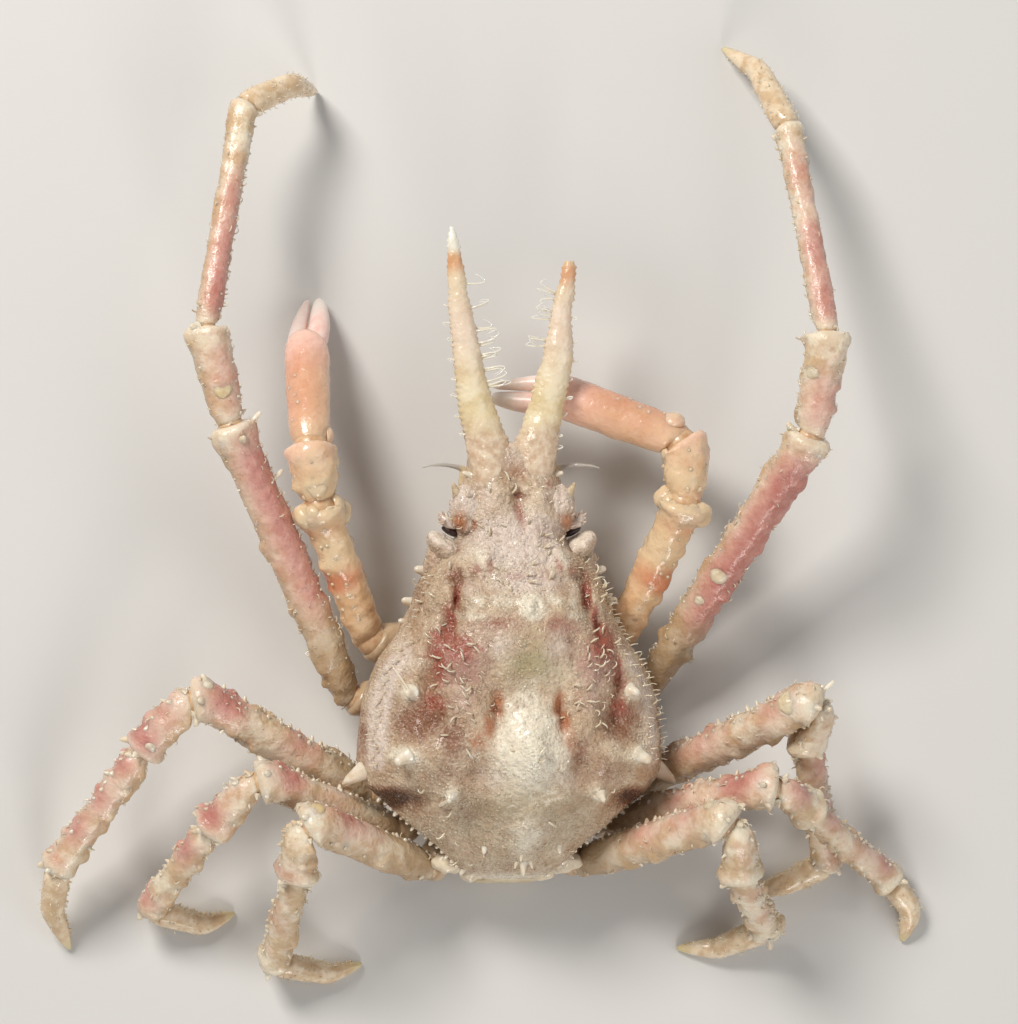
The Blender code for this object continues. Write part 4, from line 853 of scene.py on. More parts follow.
plate = Finish("thorax", Subsurface_Weight=0.2, Subsurface_Scale=0.0008, Roughness=0.34, Coat_Weight=0.4,
               Coat_Roughness=0.12)
plate_colour = plate.mix(plate.noise(1.3).between(0.35, 0.65), paint(214, 196, 160), paint(228, 212, 182))
plate_colour = plate.mix(plate.cells(0.5).between(0.0, 0.35) * 0.35, paint(176, 140, 104), plate_colour)
plate.set(Base_Color=plate.mix(plate.mark("pale") * 0.8, plate_colour, paint(236, 222, 196)))
plate.relief(plate.noise(0.22, 2.0) + plate.cells(0.35) * 0.6, 0.05, 0.7)
thorax_rings = stand(np.array([thorax_section(v) for v in np.linspace(11.2, 26.3, THORAX_ROWS)]))
thorax_parts = [(thorax_rings, {})]

# Abdomen
# The tail, folded forwards under the body into that trough, in seven segments that taper to a small end
# plate. Only its rear end shows from above, behind the shield. Pale shell with a thin raised middle.

ABDOMEN_ROWS = ((14.7, 14.7, -0.2, 0.6, 0.5), (15.2, 15.2, -0.2, 0.6, 1.0), (16.6, 16.6, -0.2, 0.6, 1.35),
                (19, 19, -0.2, 0.6, 1.55), (22.5, 22.5, -0.2, 0.6, 2.1), (24.5, 24.5, -0.2, 0.6, 2.4),
                (26.5, 26.5, -0.2, 0.6, 2.35), (27.4, 26.95, 0.1, 1.6, 2.3), (28.3, 27.85, 0.8, 2.6, 2.3),
                (28.75, 28.3, 2.0, 3.5, 2.3), (28.8, 28.35, 3.1, 3.9, 2.1))
ABDOMEN_SEAMS = (1.85, 2.75, 3.45, 4.0, 5.0, 6.4, 7.6)      # between which rows the segments meet
tail = Finish("abdomen", Subsurface_Weight=0.2, Subsurface_Scale=0.0008, Roughness=0.36, Coat_Weight=0.4,
              Coat_Roughness=0.12)
tail_colour = tail.mix(tail.noise(1.1).between(0.35, 0.65), paint(210, 190, 152), paint(226, 208, 176))
tail_colour = tail.mix(tail.mark("seam") * 0.7, tail_colour, paint(160, 122, 88))
tail.set(Base_Color=tail_colour)
tail.relief(tail.noise(0.2, 2.0) + tail.cells(0.35) * 0.5, 0.05, 0.7)
table = np.array(ABDOMEN_ROWS)
index = np.arange(len(table))
rings, seams = [], []
for step in np.linspace(0, len(table) - 1, 160):
    v, top_v, low, high, half = (float(along(np.stack([index, table[:, k]], -1), step)) for k in range(5))
    seam = sum(bell((step - spot) / 0.06) for spot in ABDOMEN_SEAMS)
    end = min(1.0, math.sqrt(step / 0.5 + 0.03))
    u, w = slab((half - 0.12 * seam) * end, low + 0.2 * seam, high - 0.15 * seam, 0.0, 56, 3.4)
    part = np.clip((w - low) / (high - low), 0, 1)
    w = w - 0.06 * bell(u / 0.35) * (part < 0.5) * (1 - seam)
    rings.append(np.stack([u, v + (top_v - v) * part, w], axis=-1))
    seams.append(np.full(len(u), seam))
belly = stand(np.array(rings))
belly = belly + unit(belly - belly.mean(axis=1, keepdims=True)) * (lumps(belly, 0.4, 9) * 0.02)[..., None]
abdomen = skin("abdomen_skin", [(belly, {"seam": np.array(seams)})], tail)
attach(abdomen, "root")
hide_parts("abdomen")

# Walking legs
# Four pairs, each of an upper leg, a short knee piece, a lower leg and a claw. The shell is granular and
# cream with pink to red patches on its front side, edged with white thorns and with pale lobes at the
# knees. The articles are closed tubes that meet at skin folds, which are made further down.

# Hip and root in the body's frame, then length, compass heading (0 is ahead, plus outwards) and the height
# of the far end of each article.
LEGS = {
    "leg1": {
        "hip": (4.6, 12.9, 2.4),
        "left": ((8.75, 13.1, 3.4), (10.2, 19.5, 8.3), (4.0, 8, 8.8), (8.7, 4, 3.9), (4.3, -8, 0.45)),
        "right": ((7.55, 13.1, 3.1), (11.1, 25, 6.8), (3.95, -2, 6.4), (9.3, -69, 5.6), (3.8, -90, 4.9)),
    },
    "leg2": {
        "hip": (4.8, 15.8, 2.3),
        "left": ((10.0, 16.9, 3.1), (20.3, 22.6, 10.3), (6.4, 14, 10.7), (14.9, -9, 7.8), (4.3, -61, 5.0),
                 (5.0, -90, 0.2)),
        "right": ((9.4, 16.3, 3.1), (21.6, 31.7, 11.2), (6.6, 9, 12.0), (14.9, -9, 6.2), (5.3, -24, 3.2),
                  (4.1, -51, 0.2)),
    },
    "leg3": {
        "hip": (4.8, 20.3, 2.1),
        "left": ((8.5, 23.0, 2.45), (14.1, 60, 8.6), (5.0, 136, 7.3), (10.2, 144, 4.3), (3.6, 168, 2.2),
                 (3.5, 199, 0.2)),
        "right": ((8.5, 22.6, 2.45), (16.5, 63, 11.0), (4.6, 195, 7.6), (10.3, 168, 1.5), (2.7, 242, 0.8),
                  (3.4, 250, 0.2)),
    },
    "leg4": {
        "hip": (4.4, 22.7, 2.3),
        "left": ((6.8, 25.4, 3.2), (11.3, 67, 9.9), (4.9, 136, 8.0), (9.1, 143, 2.3), (3.8, 250, 0.8),
                 (2.2, 290, 0.2)),
        "right": ((6.85, 25.05, 2.9), (14.1, 74, 10.8), (4.1, 128, 8.0), (9.9, 131, 1.6), (2.6, 145, 0.9),
                  (2.2, 196, 0.2)),
    },
    "leg5": {
        "hip": (3.0, 25.0, 2.5),
        "left": ((4.9, 27.8, 3.7), (11.1, 66, 11.3), (4.2, 171, 9.0), (9.2, 165, 2.5), (3.9, 255, 0.8),
                 (2.3, 286, 0.2)),
        "right": ((5.0, 27.55, 3.4), (14.2, 70, 12.6), (4.4, 172, 10.2), (9.0, 154, 2.5), (3.9, 246, 0.7),
                  (2.6, 269, 0.2)),
    },
}
HIP_RADIUS = {"leg1": 1.3, "leg2": 1.14, "leg3": 1.16, "leg4": 1.1, "leg5": 1.18}
WALKING = {
    "merus": ((0, 0.78), (0.2, 0.92), (0.5, 1.0), (0.85, 1.02), (0.95, 1.12), (1, 1.0)),
    "carpus": ((0, 0.76), (0.2, 0.9), (0.7, 1.02), (0.9, 1.08), (1, 0.95)),
    "propodus": ((0, 0.78), (0.15, 0.9), (0.5, 0.86), (0.85, 0.94), (0.95, 1.0), (1, 0.92)),
    "dactyl": ((0, 0.95), (0.12, 1.12), (0.5, 0.98), (0.8, 0.64), (0.95, 0.32), (1, 0.14)),
}
THICKNESS = {"leg2": (1.2, 1.22, 0.9, 0.78), "leg3": (1.22, 1.15, 1.05, 0.78),
             "leg4": (1.16, 1.1, 1.02, 0.75), "leg5": (1.24, 1.12, 1.05, 0.75)}
BEND = {"leg1": (1.35, 1.55, 1.5, 1.0), "leg2": (1.3, 1.4, 1.2, 1.05, 2.0),
        "leg3": (1.25, 1.3, 1.3, 1.0, 1.6), "leg4": (1.2, 1.25, 1.2, 1.0, 1.6),
        "leg5": (1.15, 1.25, 1.25, 1.0, 1.6)}
LEG_STEP, LEG_SIDES = 0.16, 40       # spacing of the rings and points round a leg
# Where an article starts and ends from its joint, and over what length its ends round in. The far rim
# reaches over the neck of the next article like a collar.
NEAR_GAP, NEAR_LIP, FAR_GAP, FAR_LIP = 0.02, 0.4, -0.2, 0.4


def joints_of(leg_name, side_name, side):
    """Hip, root, joints and tip of a leg in the room."""
    turned = np.array((side, 1, 1))
    root, *steps = LEGS[leg_name][side_name]
    joints = [stand(turned * LEGS[leg_name]["hip"]), stand(turned * root)]
    for length, heading, height in steps:
        rise = height - joints[-1][2]
        level = math.sqrt(length ** 2 - rise ** 2)
        turn = math.radians(heading)
        joints.append(joints[-1] + (side * math.sin(turn) * level, -math.cos(turn) * level, rise))
    return joints


def rounded(joints, bends):
    """Corners set out so that the arc round each passes near its joint, with the arcs' radii."""
    corners = [joint.copy() for joint in joints]
    fitted = [0.0] * len(joints)
    for _ in range(12):
        for i in range(1, len(joints) - 1):
            before, after = corners[i] - corners[i - 1], corners[i + 1] - corners[i]
            a, b = unit(before), unit(after)
            half = 0.5 * math.acos(max(-1.0, min(1.0, float(a @ b))))
            if half < 0.01:
                continue
            room = 0.46 * min(np.linalg.norm(before), np.linalg.norm(after)) / math.tan(half)
            fitted[i] = min(bends[i - 1], room)
            outset = 0 if i == 1 else 0.5 * fitted[i] * (1 / math.cos(half) - 1)
            corners[i] = joints[i] - unit(b - a) * outset
    return corners, fitted


def arc(corners, radii, i, first, last, count):
    """Points and directions on the arc at corner i, from first to last in parts of its half turn."""
    a, b = unit(corners[i] - corners[i - 1]), unit(corners[i + 1] - corners[i])
    half = 0.5 * math.acos(max(-1.0, min(1.0, float(a @ b))))
    if half < 0.01:
        return [(corners[i], unit(a + b))]
    inward, ahead = unit(b - a), unit(a + b)
    centre = corners[i] + inward * radii[i] / math.cos(half)
    turns = np.linspace(first, last, count) * half
    return [(centre + radii[i] * (ahead * math.sin(turn) - inward * math.cos(turn)),
             ahead * math.cos(turn) + inward * math.sin(turn)) for turn in turns]


def centre_line(corners, radii, first, last):
    """Even points and directions from joint first to joint last."""
    line = arc(corners, radii, first, 0, 1, 9) if first else [(corners[0], unit(corners[1] - corners[0]))]
    for i in range(first + 1, last + 1):
        if i == len(corners) - 1:
            line.append((corners[i], unit(corners[i] - corners[i - 1])))
        else:
            line += arc(corners, radii, i, -1, 0 if i == last else 1, 9)
    points, ways = (np.array(values) for values in zip(*line))
    lengths = np.concatenate([[0], np.cumsum(np.linalg.norm(np.diff(points, axis=0), axis=1))])
    count = max(int(lengths[-1] / LEG_STEP), 8)
    places = np.linspace(0, lengths[-1], count)
    points = np.stack([np.interp(places, lengths, points[:, k]) for k in range(3)], axis=-1)
    ways = np.stack([np.interp(places, lengths, ways[:, k]) for k in range(3)], axis=-1)
    return points, unit(ways), places


class Tube:
    """One article of a leg: its centre line, the frame round it and the planes of its two joints."""

    def __init__(self, corners, radii, first, last, up, side, profile, scale):
        self.points, self.ways, self.lengths = centre_line(corners, radii, first, last)
        if last < len(corners) - 1:
            self.points = np.vstack([self.points, self.points[-1] - self.ways[-1] * FAR_GAP])
            self.ways = np.vstack([self.ways, self.ways[-1]])
            self.lengths = np.append(self.lengths, self.lengths[-1] - FAR_GAP)
        self.places = self.lengths / self.lengths[-1]
        self.radius = along(profile, self.places) * scale
        self.front, self.up = [], []
        for way in self.ways:
            up = unit(up - way * (up @ way))
            self.front.append(np.cross(way, up) * side)
            self.up.append(up)
        self.front, self.up = np.array(self.front), np.array(self.up)
        self.planes = []
        if first:
            self.planes.append((*arc(corners, radii, first, 0, 0, 1)[0], NEAR_GAP, NEAR_LIP))
        if last < len(corners) - 1:
            point, way = arc(corners, radii, last, 0, 0, 1)[0]
            self.planes.append((point, -way, FAR_GAP, FAR_LIP))

    def spot(self, place, angle, reach=1.0):
        """A point on the skin, the way out of it and the way along the leg. angle in degrees."""
        k = int(np.argmin(np.abs(self.places - place)))
        turn = math.radians(angle)
        out = self.front[k] * math.cos(turn) + self.up[k] * math.sin(turn)
        return self.points[k] + out * self.radius[k] * reach, out, self.ways[k]

    def rings(self, count, swell):
        """Rows of points. swell is a height for each ring and point. The ends round in at the joints."""
        angles = np.arange(count) * 2 * math.pi / count
        out = (self.front[:, None] * np.cos(angles)[None, :, None]
               + self.up[:, None] * np.sin(angles)[None, :, None])
        reach = self.radius[:, None] + swell(self, angles)
        points = self.points[:, None] + out * reach[..., None]
        for origin, inward, gap, lip in self.planes:
            far = np.clip(((points - origin) @ inward - gap) / lip, 0.0, 1.0)
            shrink = np.sqrt(1 - (1 - far) ** 2) * 0.96 + 0.04
            points = self.points[:, None] + (points - self.points[:, None]) * shrink[..., None]
            short = np.maximum(gap - (points - origin) @ inward, 0)
            points = points + short[..., None] * inward
        return points


def knobbly(rough, lobes, seed, nodules=0.0):
    """Heights of an article's skin: granular swellings, nodules along both edges, lobes at its far end."""
    def swell(tube, angles):
        rows = tube.points[:, None] + tube.front[:, None] * np.cos(angles)[None, :, None] * 1.1
        rows = rows + tube.up[:, None] * np.sin(angles)[None, :, None] * 1.1
        fine = (lumps(rows, 0.9, seed) * 0.5 + lumps(rows, 0.42, seed + 1) * 0.5
                + lumps(rows, 0.24, seed + 2) * 0.25)
        far = bell((tube.lengths[-1] - tube.lengths - 0.3) / 0.55)[:, None]
        near = bell((tube.lengths - 0.35) / 0.5)[:, None]
        sides = np.abs(np.cos(angles))[None] ** 3
        top = np.clip(np.sin(angles), 0, 1)[None] ** 3
        scallop = 0.45 * np.clip(lumps(rows, 1.1, seed + 9), -0.6, 1)
        knots = np.clip(lumps(rows, 0.75, seed + 5) + 0.1, 0, 1) * np.abs(np.cos(angles))[None] ** 6
        return (rough * fine + nodules * knots + lobes * far * (0.8 * sides + 0.6 * top + scallop)
                - 0.55 * lobes * near)
    return swell


def grown(tube, seed, rows, length, radius, lean=0.3, step=0.9, ends=(0.06, 0.95), blunt=0.2):
    """Thorns in rows along an article. Each row is an angle and how much longer its thorns are."""
    made = []
    random = np.random.default_rng(seed)
    for angle, more in rows:
        place = ends[0] + random.uniform(0, 0.04)
        while place < ends[1]:
            spot, out, way = tube.spot(place, angle + random.uniform(-14, 14), 0.97)
            size = random.uniform(0.55, 1.25) * more
            bend = (way * 0.2 - out * 0.05) * size * length
            made.append(thorn(spot, unit(out + way * (lean + random.uniform(-0.15, 0.25))), size * length,
                              radius * random.uniform(0.8, 1.2), bend, 8, blunt))
            place += step * random.uniform(0.6, 1.4) / tube.lengths[-1]
    return made


def knot_on(tube, place, angle, size, seed, tall=0.65):
    """A rounded, slightly lumpy tubercle on an article."""
    spot, out, way = tube.spot(place, angle, 0.92)
    t = np.linspace(0, 0.995, 12)
    knot = tapered(bent(spot - out * size * 0.3, unit(out + 0.2 * way), size * tall, (0, 0, 0), 12),
                   size * np.sqrt(1 - t ** 2.6), 20)
    return knot + unit(knot - knot.mean(axis=(0, 1))) * (lumps(knot, 0.4, seed) * size * 0.12)[..., None]


# Pink to red patches by article: place, half length and strength. Then the angle round the leg where they
# are strongest, and how far the tan of the leg's base runs, in millimetres.
PATCHES = {
    "leg2_left": {"merus": ((0.4, 0.14, 0.55), (0.62, 0.18, 0.7), (0.86, 0.16, 0.75)),
                  "carpus": ((0.45, 0.5, 0.6),),
                  "propodus": ((0.12, 0.14, 0.7), (0.34, 0.16, 0.75), (0.6, 0.16, 0.6))},
    "leg2_right": {"merus": ((0.33, 0.09, 0.6), (0.47, 0.1, 0.8), (0.66, 0.16, 0.85), (0.86, 0.12, 0.8)),
                   "carpus": ((0.35, 0.4, 0.65),),
                   "propodus": ((0.12, 0.14, 0.7), (0.4, 0.18, 0.75), (0.75, 0.16, 0.6))},
    "leg3_left": {"merus": ((0.45, 0.14, 0.65), (0.86, 0.13, 1.0)),
                  "carpus": ((0.3, 0.35, 0.65), (0.8, 0.22, 1.0)),
                  "propodus": ((0.12, 0.14, 0.8), (0.4, 0.12, 0.8), (0.66, 0.12, 0.8), (0.9, 0.08, 0.5))},
    "leg3_right": {"merus": ((0.45, 0.2, 0.6), (0.85, 0.12, 0.55)), "carpus": ((0.4, 0.4, 0.35),),
                   "propodus": ((0.15, 0.16, 0.7), (0.5, 0.16, 0.7), (0.85, 0.12, 0.6))},
    "leg4_left": {"merus": ((0.5, 0.14, 0.4), (0.84, 0.13, 0.9)),
                  "carpus": ((0.25, 0.3, 0.4), (0.75, 0.24, 1.0)),
                  "propodus": ((0.25, 0.18, 0.9), (0.85, 0.12, 0.8))},
    "leg4_right": {"merus": ((0.5, 0.14, 0.6), (0.84, 0.14, 1.0)), "carpus": ((0.3, 0.3, 0.8),),
                   "propodus": ((0.15, 0.14, 0.65), (0.5, 0.16, 0.6), (0.78, 0.12, 0.75))},
    "leg5_left": {"merus": ((0.55, 0.14, 0.4), (0.78, 0.14, 0.75)), "carpus": ((0.8, 0.22, 0.6),),
                  "propodus": ((0.4, 0.25, 0.4),)},
    "leg5_right": {"merus": ((0.5, 0.16, 0.6), (0.8, 0.13, 0.6)), "carpus": ((0.4, 0.3, 0.3),),
                   "propodus": ((0.2, 0.14, 0.4), (0.6, 0.18, 0.4))},
}
PINK_ANGLE = {"leg2_left": 35, "leg2_right": 150}
TAN_LENGTH = {"leg2_left": 6.5, "leg2_right": 9.0}
# Rounded tubercles: place, angle, radius and how golden. White rods on the edge: place and length.
KNOTS = {
    "leg2_right_merus": ((0.48, 100, 0.62, 0.2), (0.37, 90, 0.42, 0.3)),
    "leg2_left_merus": ((0.2, 60, 0.36, 0.3), (0.95, 30, 0.4, 0.2)),
    "leg2_left_carpus": ((0.35, 110, 0.6, 0.6), (0.75, 20, 0.4, 0.2)),
    "leg2_right_carpus": ((0.6, 80, 0.5, 0.3),),
    "leg3_right_merus": ((0.93, 75, 0.75, 0.5), (0.96, 150, 0.4, 0.0)),
    "leg3_left_merus": ((0.95, 45, 0.55, 0.0), (0.2, 20, 0.36, 0.3)),
    "leg3_left_carpus": ((0.8, 120, 0.45, 0.0),),
    "leg4_left_merus": ((0.95, 40, 0.5, 0.1), (0.92, 165, 0.42, 0.2)),
    "leg4_right_merus": ((0.7, 20, 0.4, 0.1), (0.93, 165, 0.45, 0.1)),
    "leg5_left_merus": ((0.93, 60, 0.7, 0.9), (0.75, 170, 0.35, 0.2)),
    "leg5_right_merus": ((0.92, 50, 0.5, 0.3), (0.9, 165, 0.4, 0.0)),
    "leg4_left_carpus": ((0.3, 30, 0.35, 0.1),), "leg4_right_carpus": ((0.9, 40, 0.42, 0.0),),
}
RODS = {"leg2_left_merus": ((0.97, 0.95), (0.77, 0.85)), "leg3_right_merus": ((0.985, 0.9),)}
ARTICLES = ("merus", "carpus", "propodus", "dactyl")
leg_shell = Finish("leg_shell", Subsurface_Weight=0.3, Subsurface_Scale=0.0008, Roughness=0.24,
                   Coat_Weight=0.2, Coat_Roughness=0.09)
leg_colour = leg_shell.mix(leg_shell.noise(1.3).between(0.36, 0.62), paint(212, 184, 146),
                           paint(240, 226, 200))
leg_colour = leg_shell.mix(leg_shell.noise(0.8).between(0.45, 0.75) * 0.35, leg_colour, paint(222, 178, 158))
# The side of each article away from its pink darkens to tan: painted shade.
shade = (leg_shell.mark("shade") + leg_shell.noise(1.0) * 0.8 - 0.5).between(0.0, 0.9)
leg_colour = leg_shell.mix(shade * 0.6, leg_colour, paint(186, 148, 102))
leg_colour = leg_shell.mix(leg_shell.mark("root") * 0.85, leg_colour, paint(166, 136, 98))
leg_colour = leg_shell.mix(leg_shell.noise(0.35).between(0.5, 0.75) * 0.22, leg_colour, paint(176, 134, 100))
rose = leg_shell.mark("red") * 1.15 + leg_shell.noise(1.1) * 0.5 - 0.3
leg_colour = leg_shell.mix(rose.between(0.0, 1.0) * 0.85, leg_colour, paint(214, 152, 140))
deep = (leg_shell.mark("red") + leg_shell.noise(0.6) * 0.9 - 0.85).between(0.1, 0.75)
leg_colour = leg_shell.mix(deep * 0.6, leg_colour, paint(172, 90, 80))
leg_colour = leg_shell.mix(leg_shell.mark("pale") * 0.5, leg_colour, paint(244, 232, 210))
leg_colour = leg_shell.mix(leg_shell.mark("gold") * 0.7, leg_colour, paint(226, 188, 120))
leg_colour = leg_shell.mix(leg_shell.mark("tip") * 0.15, leg_colour, paint(240, 226, 200))
leg_shell.set(Base_Color=leg_colour)
leg_shell.relief(leg_shell.noise(0.2, 3.0) + leg_shell.cells(0.3) * 0.4 + leg_shell.noise(0.5) * 1.2,
                 0.07, 0.9)
claw_shell = Finish("leg_claw", Subsurface_Weight=0.25, Subsurface_Scale=0.0006, Roughness=0.26,
                    Coat_Weight=0.25, Coat_Roughness=0.08)
claw_colour = claw_shell.mix(claw_shell.noise(0.9).between(0.35, 0.65), paint(214, 184, 146),
                             paint(238, 218, 188))
claw_shell.set(Base_Color=claw_shell.mix(claw_shell.mark("horn"), claw_colour, paint(218, 202, 156)))
claw_shell.relief(claw_shell.noise(0.18), 0.04, 0.6)

tubes, leg_pieces, claws = {}, {}, {}
for side_name, side in SIDES:
    for leg_name in ("leg2", "leg3", "leg4", "leg5"):
        leg = leg_name + "_" + side_name
        corners, bends = rounded(joints_of(leg_name, side_name, side), BEND[leg_name])
        up = np.array((0.0, 0.0, 1.0))
        hip = Tube(corners, bends, 0, 1, up, side, ((0, 1), (1, 1)), HIP_RADIUS[leg_name])
        thorax_parts.append((hip.rings(LEG_SIDES, knobbly(0.05, 0.05, 3)), {}))
        up = hip.up[-1]
        leg_pieces[leg] = []
        for k, article in enumerate(ARTICLES):
            claw = article == "dactyl"
            last = len(corners) - 1 if claw else k + 2
            tube = Tube(corners, bends, k + 1, last, up, side, WALKING[article], THICKNESS[leg_name][k])
            up = tube.up[-1]
            tubes[leg, article] = tube
            seed = 100 + 10 * int(leg_name[3]) + 3 * k + (side > 0)
            if claw:
                swell = knobbly(0.05, 0.02, seed)
            elif leg_name == "leg2" and article == "propodus":
                swell = knobbly(0.08, 0.12, seed, 0.12)
            else:
                swell = knobbly(0.1, 0.28, seed, 0.42)
            rings = tube.rings(LEG_SIDES, swell)
            angles = np.arange(LEG_SIDES) * 2 * math.pi / LEG_SIDES
            lie = np.broadcast_to(tube.ways[:, None], rings.shape)
            unwrap = np.stack(np.broadcast_arrays(angles[None] / 12,
                                                  tube.lengths[:, None] / 24 + 0.3 * (k % 3), 0.0), axis=-1)
            if claw:
                front = unit(corners[-1] - corners[-2]) - unit(corners[-2] - corners[-3])
                coated = 0.3 * np.clip(3.0 - 3.6 * tube.places, 0, 1)[:, None]
                marks = {"horn": np.clip((tube.places - 0.82) / 0.14, 0, 1)[:, None], "lie": lie,
                         "unwrap": unwrap, "cover": coated, "bristle": coated}
                parts = [(rings, marks)]
                inner = math.degrees(math.atan2(front @ tube.up[-1], front @ tube.front[-1]))
                for part in grown(tube, seed, ((inner, 1.0), (inner + 24, 0.7)), 0.2, 0.1, 0.1, 0.42,
                                  (0.12, 0.9)):
                    parts.append((part, {"horn": 0.4, "cover": 0.0}))
                piece = skin(leg + "_claw", parts, claw_shell)
                claws[leg] = piece
            else:
                red = sum(amount * bell((tube.places - place) / half) for place, half, amount in
                          PATCHES[leg][article])[:, None]
                turned = angles - math.radians(PINK_ANGLE.get(leg, 40))
                wide = 0.75 if leg == "leg2_left" else 0.5
                upper = 0.12 + 0.88 * np.clip(wide + 0.6 * np.cos(turned), 0, 1)[None]
                ends = np.clip(bell((tube.lengths[-1] - tube.lengths - 0.2) / 0.5)
                               + 0.7 * bell((tube.lengths - 0.3) / 0.3), 0, 1)[:, None]
                base = bell(tube.lengths / TAN_LENGTH.get(leg, 4.0))[:, None] * (article == "merus")
                edge = (np.clip(np.cos(angles - 0.3), 0, 1)[None] ** 6
                        + 0.5 * np.clip(-np.cos(angles), 0, 1)[None] ** 8)
                # rear is the side away from the pink, which the shade mark darkens: painted shade.
                rear = np.clip(-np.cos(angles - math.radians(PINK_ANGLE.get(leg, 40))), 0, 1)[None]
                marks = {"red": np.clip(red * upper, 0, 1), "root": base, "shade": rear, "pale": ends,
                         "lie": lie, "unwrap": unwrap, "bristle": 0.03 + 0.3 * edge,
                         "cover": (0.03 + 0.16 * edge) * (1 - 0.7 * ends)}
                parts = [(rings, marks)]
                size = 0.62 if leg_name == "leg2" else 1.0
                for part in grown(tube, seed, ((14, size), (48, 0.5 * size)), 0.34, 0.26 * size, 0.15, 0.75,
                                  blunt=0.2):
                    parts.append((part, {"pale": 0.5}))
                for part in grown(tube, seed + 2, ((176, size),), 0.3, 0.18 * size, 0.3, 1.3, blunt=0.2):
                    parts.append((part, {"pale": 0.7}))
                for part in grown(tube, seed + 1, ((20, 1.0), (160, 0.8), (85, 0.9)), 0.5, 0.34, 0.35, 9.0,
                                  (0.95, 0.98), 0.3):
                    parts.append((part, {"pale": 1.0}))
                for place, angle, size, gold in KNOTS.get(leg + "_" + article, ()):
                    parts.append((knot_on(tube, place, angle, size, seed),
                                  {"pale": 0.3 - 0.3 * gold, "gold": gold}))
                for place, length in RODS.get(leg + "_" + article, ()):
                    spot, out, way = tube.spot(place, 5, 0.9)
                    rod = tapered(bent(spot, unit(out + 0.35 * way), length + 0.1, (0, 0, 0), 14),
                                  0.11 + 0.05 * np.sin(np.linspace(-0.5, 2.9, 14)), 10)
                    parts.append((rod, {"pale": 2.0}))
                piece = skin(leg + "_" + article, parts, leg_shell)
                leg_pieces[leg].append(piece)
            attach(piece, "root")
            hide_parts("_".join((leg_name, article, side_name)))

# Arms with the pincers
# The first pair is stouter and smooth: glossy peach and orange shell, with cream knobs at the joints. The
# palm ends in a slim fixed finger on its outer side. The thick finger on the midline's side moves.

ARM = {
    "merus": ((0, 1.0), (0.1, 1.12), (0.5, 1.22), (0.8, 1.24), (0.92, 1.42), (1, 1.36)),
    "carpus": ((0, 1.0), (0.2, 1.2), (0.45, 1.45), (0.75, 1.55), (1, 1.36)),
    "palm": ((0, 1.05), (0.12, 1.3), (0.5, 1.42), (0.85, 1.46), (0.95, 1.44), (1, 1.3)),
}
ARM_SKIN = {"merus": (0.13, 0.45, 0.3), "carpus": (0.2, 0.3, 0.4), "palm": (0.07, 0.12, 0.0)}
# Knobs: place, angle from the midline's side and radius.
ARM_KNOBS = {
    "arm_merus_left": ((0.95, 0, 0.6), (0.93, 180, 0.5), (0.97, 90, 0.4)),
    "arm_palm_left": ((0.1, 14, 0.75),),
    "arm_carpus_left": ((0.35, 120, 0.7),),
    "arm_merus_right": ((0.95, 5, 0.6), (0.95, 175, 0.6), (0.97, 75, 0.4), (0.97, 120, 0.35)),
    "arm_palm_right": ((0.1, 168, 0.75),),
    "arm_carpus_right": ((0.85, 40, 0.5),),
}
FINGER_RADIUS, FIXED_RADIUS, FINGER_SPREAD, FINGER_TIP_SPREAD = 0.7, 0.54, 0.72, 0.36
PALM_END = 1.5                                # over what length the palm rounds in to the fingers
# Tones along each article: place, half length and strength of cream, of pink and of orange.
ARM_CREAM = {"merus": ((0.7, 0.14, 0.8), (1.0, 0.12, 0.7)), "carpus": ((0.4, 0.5, 0.75),),
             "palm": ((0.0, 0.14, 0.5),)}
ARM_PINK = {"merus": ((0.95, 0.1, 0.4),), "carpus": ((0.9, 0.35, 0.5), (0.0, 0.2, 0.3)),
            "palm": ((1.0, 0.28, 1.0),)}
ARM_ORANGE = {"merus": ((0.5, 0.09, 1.0), (0.86, 0.06, 0.4)),
              "carpus": ((0.05, 0.15, 0.5), (0.55, 0.2, 0.35)),
              "palm": ((0.3, 0.35, 0.55), (0.65, 0.2, 0.35))}
arm = Finish("arm", Subsurface_Weight=0.25, Subsurface_Scale=0.0008, Roughness=0.25, Coat_Weight=0.35,
             Coat_Roughness=0.07)
arm_colour = arm.mix(arm.noise(1.6).between(0.35, 0.65), paint(224, 182, 138), paint(240, 206, 166))
arm_colour = arm.mix((arm.mark("pink") + arm.noise(0.9) * 0.5 - 0.25).between(0.0, 1.0), arm_colour,
                     paint(244, 200, 182))
arm_colour = arm.mix((arm.mark("cream") + arm.noise(0.7) * 0.7 - 0.35).between(0.0, 0.9) * 0.85, arm_colour,
                     paint(228, 202, 164))
arm_colour = arm.mix((arm.mark("deep") + arm.noise(0.8) * 0.6 - 0.3).between(0.05, 1.0) * 0.8, arm_colour,
                     paint(204, 122, 84))
arm_colour = arm.mix(arm.noise(0.3).between(0.5, 0.75) * 0.2, arm_colour, paint(190, 128, 88))
arm.set(Base_Color=arm_colour)
arm.relief(arm.noise(0.3, 3.0) + arm.cells(0.4) * 0.3 + arm.noise(0.6) * 0.8, 0.06, 0.8)
finger_skin = Finish("finger", Subsurface_Weight=0.25, Subsurface_Scale=0.0006, Roughness=0.32,
                     Coat_Weight=0.15, Coat_Roughness=0.1)
finger_colour = finger_skin.mix(finger_skin.noise(0.8).between(0.3, 0.6), paint(242, 190, 178),
                                paint(248, 216, 204))
finger_skin.set(Base_Color=finger_skin.mix(finger_skin.mark("tip"), finger_colour, paint(250, 238, 228)))
finger_skin.relief(finger_skin.noise(0.3), 0.02, 0.5)
